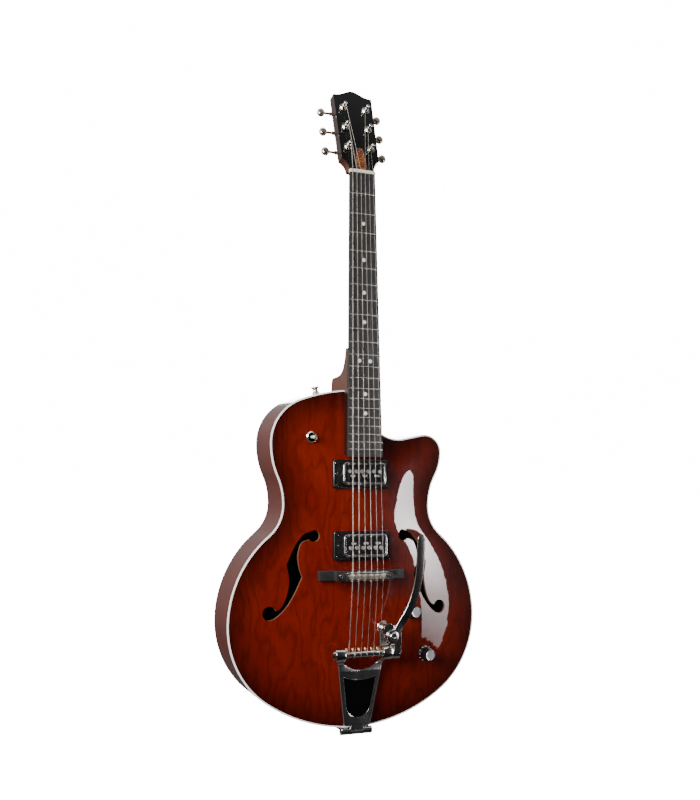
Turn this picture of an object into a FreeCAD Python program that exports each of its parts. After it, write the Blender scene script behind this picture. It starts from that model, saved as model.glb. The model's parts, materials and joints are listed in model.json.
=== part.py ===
import FreeCAD, Part
import math
import os
from FreeCAD import Placement, Rotation, Vector

os.makedirs("parts", exist_ok=True)

# Millimetres. +Z runs up the body, +X to the cutaway side, the front faces -Y.
# Z = 0 is the tail of the rim, Y = 0 is half the rim depth.
# A "front height" h is a distance in front of the front edge of the rim.

# Body outline
body_length = 508.0
lower_bout_width = 404.0
upper_bout_width = 286.6
waist_nip = 21.5
lower_bout_height = 158.0
shoulder_drop = 84.0
waist_drop = 95.0
horn_drop = 95.3
tail_ease = 50.0
shoulder_ease = 134.7
waist_radius_below = 58.0
waist_radius_above = 100.0
horn_radius = 28.3
horn_run = 32.92
cutaway_radius = 50.0
cutaway_wall_x = 25.0
cutaway_bite = 8.4

# Body shell
rim_depth = 76.0
plate_thickness = 5.0
side_thickness = 3.0
binding_width = 2.4
lining_width = 6.0
lining_height = 14.0
top_arch = 16.0
back_arch = 14.0
crown_setback = 11.6
arch_power = 1.68
swell_power = 1.5
cutaway_recurve = 45.0
block_width = 88.0
tail_block_length = 30.0
neck_block_length = 54.0
tone_bar_width = 8.0
tone_bar_height = 12.0
tone_bar_x = 33.0
glue_line = 0.15
seat_gap = 0.05
cut_margin = 1.0

# F-holes, measured from the centre line and from the bridge
upper_eye = (74.0, 57.9)
upper_eye_radius = 8.9
lower_eye = (139.6, -54.3)
lower_eye_radius = 10.3
outer_notch = (115.3, 16.0)
inner_notch = (91.4, -2.9)
upper_flank = [(88.0, 60.7), (98.4, 49.9), (106.5, 36.1)]
outer_throat = [(111.3, -5.3), (112.6, -20.0), (116.8, -35.5), (123.7, -47.4)]
lower_flank = [(131.6, -62.2), (121.4, -53.9), (111.3, -41.6), (102.3, -26.2)]
inner_throat = [(96.1, 11.1), (98.1, 25.0), (96.9, 35.9), (91.9, 47.8)]

# Neck
scale_length = 631.0
fret_count = 21
joint_fret = 14
neck_angle = 3.53
neck_rise = 24.0
nut_width = 43.7
last_fret_width = 56.4
fretboard_thickness = 6.0
fretboard_radius = 305.0
fret_width = 2.5
fret_crown = 1.1
shaft_depth_nut = 15.5
shaft_depth_heel = 18.0
heel_half_front = 25.0
heel_half_back = 20.0
heel_rise = 22.0
heel_corner = 9.0
heel_root = 10.0
heel_sweep = [(0.0, 42.0), (5.0, 22.0), (17.0, 7.0), (34.0, 1.5)]
tongue_depth = 13.0
nut_length = 5.0
nut_lip = 0.6
truss_rod_radius = 3.0
truss_rod_skin = 1.5
truss_rod_reach = 14.0
truss_wrench_room = 8.0
dot_radius = 3.1
dot_depth = 1.2
single_dots = [3, 5, 7, 9, 15, 17]
double_dot = 12
double_dot_x = 9.0

# Headstock
head_tilt = 15.0
head_drop = 3.0
head_start = 0.9
head_flare = 2.5
head_thickness = 15.5
veneer_thickness = 1.5
head_corner_height = 22.0
head_corner_half = 32.5
head_shoulder_height = 148.5
head_shoulder_half = 34.2
head_crown = 10.5
cover_low = 2.0
cover_half_width = 9.8
cover_length = 42.0
cover_top_radius = 6.5
cover_thickness = 2.0
cover_edge = 0.8
cover_screw_inset = 3.3
pocket_half_width = 4.5
pocket_low = 5.0
pocket_high = 25.0
pocket_depth = 11.0

# Tuners
tuner_rows = [44.0, 83.0, 122.0]
post_x = 20.0
post_radius = 3.0
post_waist_radius = 2.5
post_height = 15.0
post_edge = 0.6
post_eye_radius = 0.8
wrap_height = 8.0
wrap_length = 5.0
wrap_taper = 0.8
sleeve_radius = 4.5
washer_radius = 6.8
washer_height = 1.6
bushing_nut_radius = 5.4
bushing_nut_height = 2.4
housing_width = 16.0
housing_length = 21.0
housing_depth = 12.5
housing_corner = 3.5
housing_edge = 2.0
key_inner = 5.0
key_collar_reach = 4.0
key_ring_gap = 0.4
key_ring_length = 2.0
key_depth = 6.0
key_offset = 2.0
key_radius = 2.1
key_collar_radius = 3.2
button_x = 50.5
button_half_x = 6.6
button_half_z = 7.4
button_thickness = 9.0
bearing_gap = 0.06

# Strings, listed from the bass side
string_radii = [0.62, 0.48, 0.36, 0.23, 0.18, 0.14]
nut_spread = 35.5
bridge_spread = 50.0
string_lift_nut = 1.3
string_gap = 0.25
wrap_end_angle = 19.0

# Bridge
bridge_setback = 0.86
saddle_forward = 2.0
saddle_height = 46.0
base_half_length = 68.8
base_width = 14.5
deck_half_length = 46.0
deck_top = 33.6
wing_top = 23.0
base_edge = 0.7
stud_x = 38.7
stud_radius = 2.0
stud_depth = 10.0
wheel_radius = 7.0
wheel_thickness = 3.0
wheel_clear = 3.6
wheel_notches = 20
wheel_notch_radius = 0.5
wheel_room = 0.4
bar_half_length = 33.5
bar_width = 12.5
bar_depth = 6.8
bar_floor = 2.0
bar_end = 2.5
bar_edge = 1.6
ear_thickness = 3.0
ear_radius = 4.9
ear_gap = 0.2
saddle_width = 8.2
saddle_length = 7.2
saddle_crest = 0.4
saddle_sink = 0.6
trough_gap = 0.25

# Pickups
neck_pickup_drop = 129.7
bridge_pickup_gap = 44.6
neck_cover_top = 28.0
bridge_cover_top = 35.6
ring_length = 91.5
ring_width = 43.5
ring_drop = 14.6
ring_corner = 4.0
ring_edge = 0.8
ring_window_gap = 0.5
well_step = 3.0
cover_length_x = 70.5
cover_length_z = 33.4
cover_corner = 6.2
cover_wall = 1.0
cover_face = 1.4
cover_lip = 1.0
cover_border = 3.2
cover_depth = 17.5
insert_recess = 0.7
pole_pitch = 9.94
pole_offset = 3.3
pole_radius = 3.0
pole_head = 1.0
pole_slot = 0.8
pole_shank = 1.3
pole_foot = 4.0
stud_pair_gap = 4.8
stud_pair_radius = 1.9
stud_pair_height = 0.6
ring_screw_x = 41.0
ring_screw_z = 16.6

# Controls
volume_x = 113.0
volume_share = 0.4545
tone_x = 86.0
tone_share = 0.7458
knob_radius = 12.0
knob_cap_radius = 8.6
knob_height = 21.0
knob_skirt = 2.6
knob_slope = 3.0
knob_shoulder = 1.2
knob_edge = 0.6
knob_wall = 1.6
knob_recess = 3.0
knob_socket = 4.0
knob_lift = 1.1
pot_gap = 0.5
pot_bushing_rise = 2.0
pot_radius = 11.5
pot_depth = 9.5
pot_bushing_radius = 4.6
pot_shaft_radius = 3.0
toggle_x = -79.3
toggle_drop = 75.4
toggle_nut_radius = 9.0
toggle_nut_height = 5.0
toggle_nut_edge = 2.0
toggle_nut_skirt = 4.0
toggle_mouth_low = 4.4
toggle_mouth_high = 7.0
toggle_bushing_radius = 5.8
toggle_bushing_rise = 1.2
toggle_sink = 1.5
toggle_length = 17.0
toggle_tip_radius = 2.6
toggle_root_radius = 1.6
toggle_pin_radius = 0.55
toggle_socket_gap = 0.3
switch_gap = 2.5
switch_half_x = 8.0
switch_half_z = 11.0
switch_depth = 24.0
jack_angle = 25.0
jack_plate_radius = 12.5
jack_plate_thickness = 2.0
jack_sleeve_radius = 5.2
jack_sleeve_length = 26.0
plug_radius = 3.175
plug_gap = 0.075

# Strap buttons
button_height = 11.5
button_foot_radius = 6.3
button_neck_radius = 3.6
button_head_radius = 6.6
button_waist = 5.2
button_foot_edge = 1.2
button_head_edge = 1.6
button_shank_radius = 2.0
shoulder_button_x = 58.0

# Vibrato
shaft_share = 0.4943
shaft_height = 29.0
shaft_radius = 4.5
housing_x_inner = 30.2
housing_x_outer = 45.5
housing_radius = 10.5
bearing_wall = 1.8
shaft_end_bass = 49.5
shaft_end_treble = 57.0
shaft_collar_radius = 6.6
pin_radius = 1.0
pin_angle = 125.5
pin_reach = 9.6
ball_inner = 6.3
ball_outer = 8.8
ball_radius = 2.1
frame_top_half = 36.0
frame_bottom_half = 21.5
frame_mouth_half = 27.0
frame_foot = 8.0
frame_setback = 15.0
frame_dip = 9.5
frame_low_share = 0.206
frame_low_height = 11.8
frame_middle_share = 0.598
frame_middle_height = 15.4
frame_top_height = 20.5
frame_lap = 4.0
frame_thickness = 5.5
barrel_sink = 0.4
leg_drop = 14.0
panel_depth = 0.9
panel_top_half = 26.5
panel_top_drop = 20.0
panel_dip = 4.5
panel_bottom_half = 19.5
panel_bottom = 33.0
panel_foot = 16.8
hinge_z = -3.5
hinge_height = 5.0
hinge_radius = 5.3
hinge_pin_radius = 2.2
barrel_half = 10.6
knuckle_half = 24.8
knuckle_gap = 0.3
hinge_plate_thickness = 2.2
hinge_plate_reach = 26.0
hinge_screw_inset = 5.0
hinge_screw_drop = 8.0
spring_x = 37.0
spring_reach = 35.0
spring_seat_height = 18.0
spring_seat_radius = 9.5
spring_seat_thickness = 3.5
spring_mean_radius = 6.4
spring_wire = 2.4
spring_turns = 4
spring_gap = 0.3
lever_back = 36.0
lever_thickness = 5.4
lever_pad_radius = 9.0
lever_gap = 0.8
lever_corner = 8.0
lever_lap = 8.0
lever_end = 6.0
pivot_x = 42.3
pivot_reach = 25.3
pivot_radius = 3.2
pivot_head_radius = 6.3
pivot_head_height = 3.4
pivot_head_edge = 0.9
pivot_socket_radius = 2.6
pivot_socket_floor = 1.2
arm_thickness = 3.2
arm_gap = 0.3
arm_eye_radius = 9.5
arm_half_width = 5.6
arm_tip_half_width = 6.7
arm_course = [(52.2, 37.8), (70.6, 71.6), (80.4, 113.6), (82.3, 169.3)]
arm_flat = 14.0
arm_rises = [4.5, 9.5, 13.5]

# Small screws
screw_head_radius = 1.9
screw_head_height = 1.0
screw_shank_radius = 1.1
screw_length = 6.0
screw_slot = 0.5

X_AXIS = Vector(1, 0, 0)
Y_AXIS = Vector(0, 1, 0)
Z_AXIS = Vector(0, 0, 1)
FRONT = Vector(0, -1, 0)
half_rim = rim_depth / 2


def export(name, *shapes):
    """Write one named piece."""
    shape = Part.makeCompound([s for shape in shapes for s in shape.Solids])
    shape.exportStep("parts/" + name + ".step")


def front(h):
    """Y of a place h in front of the front edge of the rim."""
    return -half_rim - h


def at(x, h, z):
    return Vector(x, front(h), z)


def rod(radius, start, end):
    return Part.makeCylinder(radius, (end - start).Length, start, end - start)


def tube(outer, inner, start, end):
    return rod(outer, start, end).cut(rod(inner, start, end))


def block(x0, x1, h0, h1, z0, z1):
    """Box between two front heights."""
    return Part.makeBox(x1 - x0, h1 - h0, z1 - z0, Vector(x0, front(h1), z0))


def local_box(half_x, half_z, y0, y1):
    return Part.makeBox(2 * half_x, y1 - y0, 2 * half_z, Vector(-half_x, y0, -half_z))


def rounded_box(half_x, half_z, y0, y1, radius):
    """Box with its four edges along Y rounded."""
    box = local_box(half_x, half_z, y0, y1)
    upright = [e for e in box.Edges if abs(e.tangentAt(e.FirstParameter).y) > 0.9]
    return box.makeFillet(radius, upright)


def spline(points):
    curve = Part.BSplineCurve()
    curve.interpolate(points)
    return curve.toShape()


def closed(edges):
    return Part.Wire(Part.__sortEdges__(edges))


def slab_y(wire, y0, y1):
    """Solid between two Y places from a wire drawn in the plane Y = 0."""
    return Part.Face(wire).translated(Vector(0, y0, 0)).extrude(Vector(0, y1 - y0, 0))


def slab_x(points, x0, x1):
    """Solid between two X places from (h, z) corners."""
    corners = [at(x0, h, z) for h, z in points]
    face = Part.Face(Part.makePolygon(corners + corners[:1]))
    return face.extrude(Vector(x1 - x0, 0, 0))


def fused(first, *others):
    return first.fuse(list(others)).removeSplitter()


def mirrored(shape):
    return shape.mirror(Vector(0, 0, 0), X_AXIS)


def placed(shape, place):
    moved = shape.copy()
    moved.Placement = place.multiply(shape.Placement)
    return moved


def turned(profile, origin, axis):
    """Solid of revolution from (radius, distance) corners along an axis."""
    side = Vector(1, 0, 0) if abs(axis.x) < 0.5 else Vector(0, 0, 1)
    side = (side - axis * side.dot(axis)).normalize()
    corners = [origin + side * r + axis * t for r, t in profile]
    face = Part.Face(Part.makePolygon(corners + corners[:1]))
    return face.revolve(origin, axis, 360)


# Body outline as tangent arcs
half_lower = lower_bout_width / 2
half_upper = upper_bout_width / 2
half_waist = half_upper - waist_nip
tail_radius = half_lower + tail_ease
shoulder_radius = half_upper + shoulder_ease
upper_bout_height = body_length - shoulder_drop
waist_height = upper_bout_height - waist_drop
horn_height = body_length - horn_drop


def end_radius(big, rise, half):
    """Radius of the arc from the widest place that meets the end arc smoothly."""
    return (2 * big * rise - half ** 2 - rise ** 2) / (2 * (big - half))


def flank_radius(half, rise, waist_radius):
    """Radius of the arc from the widest place that meets the waist arc smoothly."""
    step = half - half_waist
    return rise ** 2 / (2 * step) + step / 2 - waist_radius


def towards(centre, radius, other):
    return centre + (other - centre).normalize() * radius


tail_centre = Vector(0, 0, tail_radius)
low_radius = end_radius(tail_radius, lower_bout_height, half_lower)
low_centre = Vector(half_lower - low_radius, 0, lower_bout_height)
flank_low_radius = flank_radius(half_lower, waist_height - lower_bout_height, waist_radius_below)
flank_low_centre = Vector(half_lower - flank_low_radius, 0, lower_bout_height)
waist_low_centre = Vector(half_waist + waist_radius_below, 0, waist_height)
waist_up_centre = Vector(half_waist + waist_radius_above, 0, waist_height)
shoulder_centre = Vector(0, 0, body_length - shoulder_radius)
bass_top_radius = end_radius(shoulder_radius, shoulder_drop, half_upper)
bass_top_centre = Vector(half_upper - bass_top_radius, 0, upper_bout_height)
horn_centre = Vector(half_upper - horn_radius, 0, horn_height)
cutaway_x = cutaway_wall_x + cutaway_radius - cutaway_bite
cutaway_span = math.hypot(horn_radius + cutaway_radius, horn_run)
cutaway_z = horn_height + math.sqrt(cutaway_span ** 2 - (horn_centre.x - cutaway_x) ** 2)
cutaway_centre = Vector(cutaway_x, 0, cutaway_z)


def flank_up(height):
    radius = flank_radius(half_upper, height - waist_height, waist_radius_above)
    return Vector(half_upper - radius, 0, height), radius


def arc_about(centre, start, end):
    middle = (start + end - centre * 2).normalize() * (start - centre).Length
    return Part.Arc(start, centre + middle, end).toShape()


def bout_arcs(inset, height):
    """Arcs of one side from the tail arc up to the widest place of the upper bout."""
    up_centre, up_radius = flank_up(height)
    tail_end = towards(tail_centre, tail_radius - inset, low_centre * 2 - tail_centre)
    low_wide = Vector(half_lower - inset, 0, lower_bout_height)
    low_end = towards(flank_low_centre, flank_low_radius - inset, waist_low_centre)
    waist = Vector(half_waist - inset, 0, waist_height)
    up_start = towards(up_centre, up_radius - inset, waist_up_centre)
    up_wide = Vector(half_upper - inset, 0, height)
    return [
        (low_centre, tail_end, low_wide),
        (flank_low_centre, low_wide, low_end),
        (waist_low_centre, low_end, waist),
        (waist_up_centre, waist, up_start),
        (up_centre, up_start, up_wide),
    ]


def flip(point):
    return Vector(-point.x, point.y, point.z)


def body_wire(inset):
    """Outline of the body, moved inwards by the inset."""
    treble = bout_arcs(inset, horn_height)
    bass = [tuple(flip(p) for p in arc) for arc in bout_arcs(inset, upper_bout_height)]
    span = cutaway_centre - horn_centre
    lean = math.degrees(math.acos((horn_radius + cutaway_radius) / span.Length))
    normal = Rotation(Y_AXIS, lean).multVec(span.normalize())
    horn_end = horn_centre + normal * (horn_radius - inset)
    cut_start = cutaway_centre - normal * (cutaway_radius + inset)
    wall = cutaway_wall_x - inset
    cut_drop = math.sqrt((cutaway_radius + inset) ** 2 - (cutaway_x - wall) ** 2)
    cut_end = Vector(wall, 0, cutaway_z - cut_drop)
    top_rise = math.sqrt((shoulder_radius - inset) ** 2 - wall ** 2)
    wall_top = Vector(wall, 0, shoulder_centre.z + top_rise)
    bass_centre = flip(bass_top_centre)
    top_end = towards(shoulder_centre, shoulder_radius - inset, bass_centre * 2 - shoulder_centre)
    arcs = treble + bass
    arcs.append((tail_centre, bass[0][1], treble[0][1]))
    arcs.append((horn_centre, treble[-1][2], horn_end))
    arcs.append((cutaway_centre, cut_start, cut_end))
    arcs.append((shoulder_centre, wall_top, top_end))
    arcs.append((bass_centre, top_end, bass[-1][2]))
    edges = [arc_about(*arc) for arc in arcs]
    edges.append(Part.makeLine(horn_end, cut_start))
    edges.append(Part.makeLine(cut_end, wall_top))
    return closed(edges)


def body_slab(inset, h0, h1):
    return slab_y(body_wire(inset), front(h1), front(h0))


def half_width(z):
    """Half width of the body at a height, as if there were no cutaway."""
    up_centre, up_radius = flank_up(upper_bout_height)
    sides = bout_arcs(0, upper_bout_height)
    top_end = towards(shoulder_centre, shoulder_radius, bass_top_centre * 2 - shoulder_centre)
    arcs = [
        (sides[0][1].z, tail_centre, tail_radius, 1),
        (lower_bout_height, low_centre, low_radius, 1),
        (sides[1][2].z, flank_low_centre, flank_low_radius, 1),
        (waist_height, waist_low_centre, waist_radius_below, -1),
        (sides[3][2].z, waist_up_centre, waist_radius_above, -1),
        (upper_bout_height, up_centre, up_radius, 1),
        (top_end.z, bass_top_centre, bass_top_radius, 1),
        (body_length, shoulder_centre, shoulder_radius, 1),
    ]
    for limit, centre, radius, sense in arcs:
        if z <= limit:
            reach = math.sqrt(max(radius ** 2 - (z - centre.z) ** 2, 0))
            return centre.x + sense * reach
    return 0


def swell(t):
    """Rise of an arch from 0 at its edge to 1 at its crown, flat at both."""
    t = min(max(t, 0), 1)
    return (1 - (1 - t) ** 2) ** swell_power


def arch(x, z):
    """Share of the full arch height at a place on a plate."""
    half = half_width(z)
    if z <= 0 or z >= body_length or abs(x) >= half:
        return 0
    along = z / crown_height if z < crown_height else (body_length - z) / (body_length - crown_height)
    side_x = max(cutaway_wall_x - x, 0)
    side_z = max(cutaway_z - z, 0)
    from_arc = math.hypot(x - cutaway_x, z - cutaway_z) - cutaway_radius
    from_notch = min(from_arc, math.hypot(side_x, side_z))
    return swell(along) * (1 - (x / half) ** 2) ** arch_power * swell(from_notch / cutaway_recurve)


def top_height(x, z):
    return top_arch * arch(x, z)


def arch_face(height, edge_y, sense):
    """Smooth surface of a carved plate."""
    columns = 33
    rows = 41
    grid = []
    for i in range(columns):
        x = half_lower * (2 * i / (columns - 1) - 1) * 1.03
        line = []
        for j in range(rows):
            z = body_length * (j / (rows - 1) * 1.06 - 0.03)
            line.append(Vector(x, edge_y + sense * height * arch(x, z), z))
        grid.append(line)
    surface = Part.BSplineSurface()
    surface.interpolate(grid)
    return surface.toShape()


# Places of the neck and of the headstock
lean = math.radians(neck_angle)
neck_axis = Vector(0, math.sin(lean), math.cos(lean))


def fret_place(n):
    """Distance from the nut along the neck, negative towards the body."""
    return -scale_length * (1 - 2 ** (-n / 12))


nut_place = at(0, neck_rise, body_length) - neck_axis * fret_place(joint_fret)
neck_frame = Placement(nut_place, Rotation(X_AXIS, -neck_angle))
head_shift = Placement(Vector(0, head_drop, nut_length), Rotation(X_AXIS, -head_tilt))
head_frame = neck_frame.multiply(head_shift)
board_length = -fret_place(fret_count + 1)
bridge_z = nut_place.z - scale_length * math.cos(lean) - bridge_setback
saddle_z = bridge_z + saddle_forward
crown_height = bridge_z - crown_setback


def board_half(z):
    share = z / fret_place(fret_count)
    return (nut_width + (last_fret_width - nut_width) * share) / 2


def crown_drop(x):
    """How far a rounded fingerboard falls away at a distance from its middle."""
    return fretboard_radius - math.sqrt(fretboard_radius ** 2 - x ** 2)


def small_screw(place, direction):
    """Screw with its head seated at a place, and the hole for its shank."""
    tip = place - direction * screw_length
    head = rod(screw_head_radius, place + direction * seat_gap, place + direction * screw_head_height)
    head = head.cut(
        Part.makeBox(
            2 * screw_head_radius, screw_head_height, screw_slot,
            Vector(-screw_head_radius, -screw_head_height * 1.5, -screw_slot / 2),
        ).translated(place)
    )
    screw = head.fuse(rod(screw_shank_radius, tip, place + direction * screw_head_height / 2))
    hole = rod(screw_shank_radius + seat_gap, tip - direction * glue_line, place + direction)
    return screw, hole


screws = []

# Carved plates
top_skin = arch_face(top_arch, front(0), -1)
back_skin = arch_face(back_arch, half_rim, 1)
top_space = top_skin.extrude(Vector(0, rim_depth, 0))
plate_inset = binding_width + glue_line
deep = 2 * rim_depth
top_plate = top_skin.extrude(Vector(0, plate_thickness, 0)).common(body_slab(plate_inset, -deep, deep))
back_plate = back_skin.extrude(Vector(0, -plate_thickness, 0)).common(body_slab(0, -deep, deep))


def on_top(shape):
    """Trim the underside of a piece to the carved top."""
    return shape.cut(top_space.translated(Vector(0, -seat_gap, 0)))


# F-holes
def eye_point(eye, radius, degrees):
    angle = math.radians(degrees)
    return Vector(eye[0] + radius * math.cos(angle), 0, bridge_z + eye[1] + radius * math.sin(angle))


def above(height, points):
    """Points in the plane Y = 0 from (x, z) places counted from a height."""
    return [Vector(x, 0, height + z) for x, z in points]


upper_start = eye_point(upper_eye, upper_eye_radius, 100)
upper_end = eye_point(upper_eye, upper_eye_radius, -38)
lower_start = eye_point(lower_eye, lower_eye_radius, 160)
lower_end = eye_point(lower_eye, lower_eye_radius, -90)
outer_tip, inner_tip = above(bridge_z, [outer_notch, inner_notch])
f_edges = [
    spline([upper_start] + above(bridge_z, upper_flank) + [outer_tip]),
    spline([outer_tip] + above(bridge_z, outer_throat) + [lower_start]),
    Part.Arc(lower_start, eye_point(lower_eye, lower_eye_radius, 35), lower_end).toShape(),
    spline([lower_end] + above(bridge_z, lower_flank) + [inner_tip]),
    spline([inner_tip] + above(bridge_z, inner_throat) + [upper_end]),
    Part.Arc(upper_end, eye_point(upper_eye, upper_eye_radius, 211), upper_start).toShape(),
]
f_hole = slab_y(closed(f_edges), front(deep), front(-rim_depth / 2))
top_plate = top_plate.cut([f_hole, mirrored(f_hole)])

# Rim, binding, linings and blocks
rim_front = -plate_thickness - glue_line
rim_back = plate_thickness + glue_line - rim_depth
inner_inset = side_thickness + glue_line
rim = body_slab(0, rim_back, rim_front).cut(body_slab(side_thickness, rim_back, rim_front))
half_space = block(-half_lower, 0, -rim_depth, 0, -cut_margin, body_length + cut_margin)
bass_side = rim.common(half_space)
treble_side = rim.cut(half_space)
top_binding = body_slab(0, -plate_thickness, 0).cut(body_slab(binding_width, -plate_thickness, 0))
cavity = body_slab(inner_inset, rim_back, rim_front)
half_block = block_width / 2
tail_block = cavity.common(block(-half_block, half_block, -rim_depth, 0, 0, tail_block_length))
neck_block_end = body_length - neck_block_length
neck_block = cavity.common(block(-half_block, half_block, -rim_depth, 0, neck_block_end, body_length))
lining_ring = cavity.cut(body_slab(inner_inset + lining_width, rim_back, rim_front))
middle = block(-half_lower, half_lower, rim_back + lining_height, rim_front - lining_height, 0, body_length)
room_half = half_block + cut_margin
block_room = [
    block(-room_half, room_half, -rim_depth, 0, 0, tail_block_length + cut_margin),
    block(-room_half, room_half, -rim_depth, 0, neck_block_end - cut_margin, body_length),
]
linings = lining_ring.cut([middle] + block_room)

# Tone bars follow the inside of the carved top
under_top = top_space.translated(Vector(0, plate_thickness + glue_line, 0))
bar_low_z = tail_block_length + lining_height
bar_high_z = cutaway_z - cutaway_radius - inner_inset - lining_width - 2 * cut_margin
tone_bars = []
for side in (-1, 1):
    bar_x = side * tone_bar_x
    blank = block(bar_x - tone_bar_width / 2, bar_x + tone_bar_width / 2, -tone_bar_height, top_arch,
                  bar_low_z, bar_high_z)
    tone_bars.append(blank.common(under_top))

# Neck shaft, heel, tongue and headstock
def shaft_section(z, depth):
    half = board_half(z)
    left = Vector(-half, fretboard_thickness, z)
    right = Vector(half, fretboard_thickness, z)
    belly = Part.Arc(right, Vector(0, fretboard_thickness + depth, z), left).toShape()
    return Part.Wire([Part.makeLine(left, right), belly])


def board_outline(z0, z1):
    corners = [Vector(s * board_half(z), 0, z) for z, s in ((z0, -1), (z0, 1), (z1, 1), (z1, -1))]
    return Part.makePolygon(corners + corners[:1])


shaft_low = fret_place(joint_fret)
shaft = Part.makeLoft(
    [shaft_section(nut_length, shaft_depth_nut), shaft_section(shaft_low, shaft_depth_heel)], True, True
)
tongue_end = -board_length + fret_width
tongue = slab_y(board_outline(shaft_low, tongue_end), fretboard_thickness,
                fretboard_thickness + tongue_depth)

neck_back = front(neck_rise) + fretboard_thickness + shaft_depth_heel
heel_top = body_length + heel_rise
heel_end = half_rim - plate_thickness
sweep_points = [Vector(0, neck_back + back, heel_top + rise) for back, rise in heel_sweep]
curve = spline(sweep_points + [Vector(0, heel_end - heel_corner, heel_top)])
corner_mid = math.sqrt(0.5) * heel_corner
corner = Part.Arc(
    Vector(0, heel_end - heel_corner, heel_top),
    Vector(0, heel_end - heel_corner + corner_mid, heel_top - heel_corner + corner_mid),
    Vector(0, heel_end, heel_top - heel_corner),
).toShape()
heel_low = body_length - heel_rise
heel_front = neck_back - heel_root
rest = Part.makePolygon([
    Vector(0, heel_end, heel_top - heel_corner),
    Vector(0, heel_end, heel_low),
    Vector(0, heel_front, heel_low),
    Vector(0, heel_front, sweep_points[0].z),
    sweep_points[0],
])
heel_side = Part.Face(closed([curve, corner] + rest.Edges))
heel = heel_side.translated(Vector(-heel_half_front, 0, 0)).extrude(Vector(2 * heel_half_front, 0, 0))
plan = [
    (-1, heel_half_front, heel_front), (1, heel_half_front, heel_front),
    (1, heel_half_back, heel_end), (-1, heel_half_back, heel_end),
]
plan = [Vector(side * half, y, heel_low) for side, half, y in plan]
heel_length = sweep_points[0].z - heel_low + cut_margin
heel_plan = Part.Face(Part.makePolygon(plan + plan[:1])).extrude(Vector(0, 0, heel_length))
heel = heel.common(heel_plan).cut(body_slab(-glue_line, -deep, deep))
neck_room = placed(slab_y(board_outline(nut_length, -board_length), -2 * head_thickness,
                          fretboard_thickness), neck_frame)
heel = heel.cut(neck_room)


def head_wire(start):
    """Outline of the headstock from just above the nut to its crown."""
    root = nut_width / 2
    foot = Vector(root, 0, start)
    bend = Vector(root + head_flare, 0, head_corner_height * 0.6)
    corner = Vector(head_corner_half, 0, head_corner_height)
    crest = []
    for x, rise in ((1, 0), (0.7, 0.1), (0.38, 0.57), (0, 1), (-0.38, 0.57), (-0.7, 0.1), (-1, 0)):
        crest.append(Vector(x * head_shoulder_half, 0, head_shoulder_height + rise * head_crown))
    return closed([
        Part.Arc(foot, bend, corner).toShape(),
        Part.makeLine(corner, crest[0]),
        spline(crest),
        Part.makeLine(crest[-1], flip(corner)),
        Part.Arc(flip(corner), flip(bend), flip(foot)).toShape(),
        Part.makeLine(flip(foot), foot),
    ])


head_back = veneer_thickness + head_thickness
head_core = slab_y(head_wire(head_start), veneer_thickness, head_back)
veneer = slab_y(head_wire(head_start), 0, veneer_thickness)

rod_y = fretboard_thickness + truss_rod_radius + truss_rod_skin
rod_start = Vector(0, rod_y, fret_place(joint_fret + 1))
rod_end = Vector(0, rod_y, nut_length + truss_rod_reach)
truss_rod = rod(truss_rod_radius, rod_start, rod_end)
channel = rod(truss_rod_radius + seat_gap, rod_start - Z_AXIS * cut_margin,
              rod_end + Z_AXIS * truss_wrench_room)
pocket = Part.makeBox(2 * pocket_half_width, pocket_depth + cut_margin, pocket_high - pocket_low,
                      Vector(-pocket_half_width, -cut_margin, pocket_low))

cover_top = cover_low + cover_length - cover_top_radius
cover_edges = Part.makePolygon([
    Vector(cover_top_radius, 0, cover_top),
    Vector(cover_half_width, 0, cover_low),
    Vector(-cover_half_width, 0, cover_low),
    Vector(-cover_top_radius, 0, cover_top),
]).Edges
cover_arch = Part.Arc(Vector(-cover_top_radius, 0, cover_top),
                      Vector(0, 0, cover_top + cover_top_radius),
                      Vector(cover_top_radius, 0, cover_top)).toShape()
cover = slab_y(closed(cover_edges + [cover_arch]), -cover_thickness, -seat_gap)
face_edges = [e for e in cover.Edges if abs(e.CenterOfMass.y + cover_thickness) < 0.01]
cover = cover.makeChamfer(cover_edge, face_edges)
cover_holes = []
screw_x = cover_half_width - cover_screw_inset
screw_z = cover_low + cover_screw_inset
for x, z in ((0, cover_top + cut_margin), (-screw_x, screw_z), (screw_x, screw_z)):
    screw, hole = small_screw(Vector(x, -cover_thickness, z), FRONT)
    screws.append(placed(screw, head_frame))
    cover_holes.append(hole)

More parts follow.
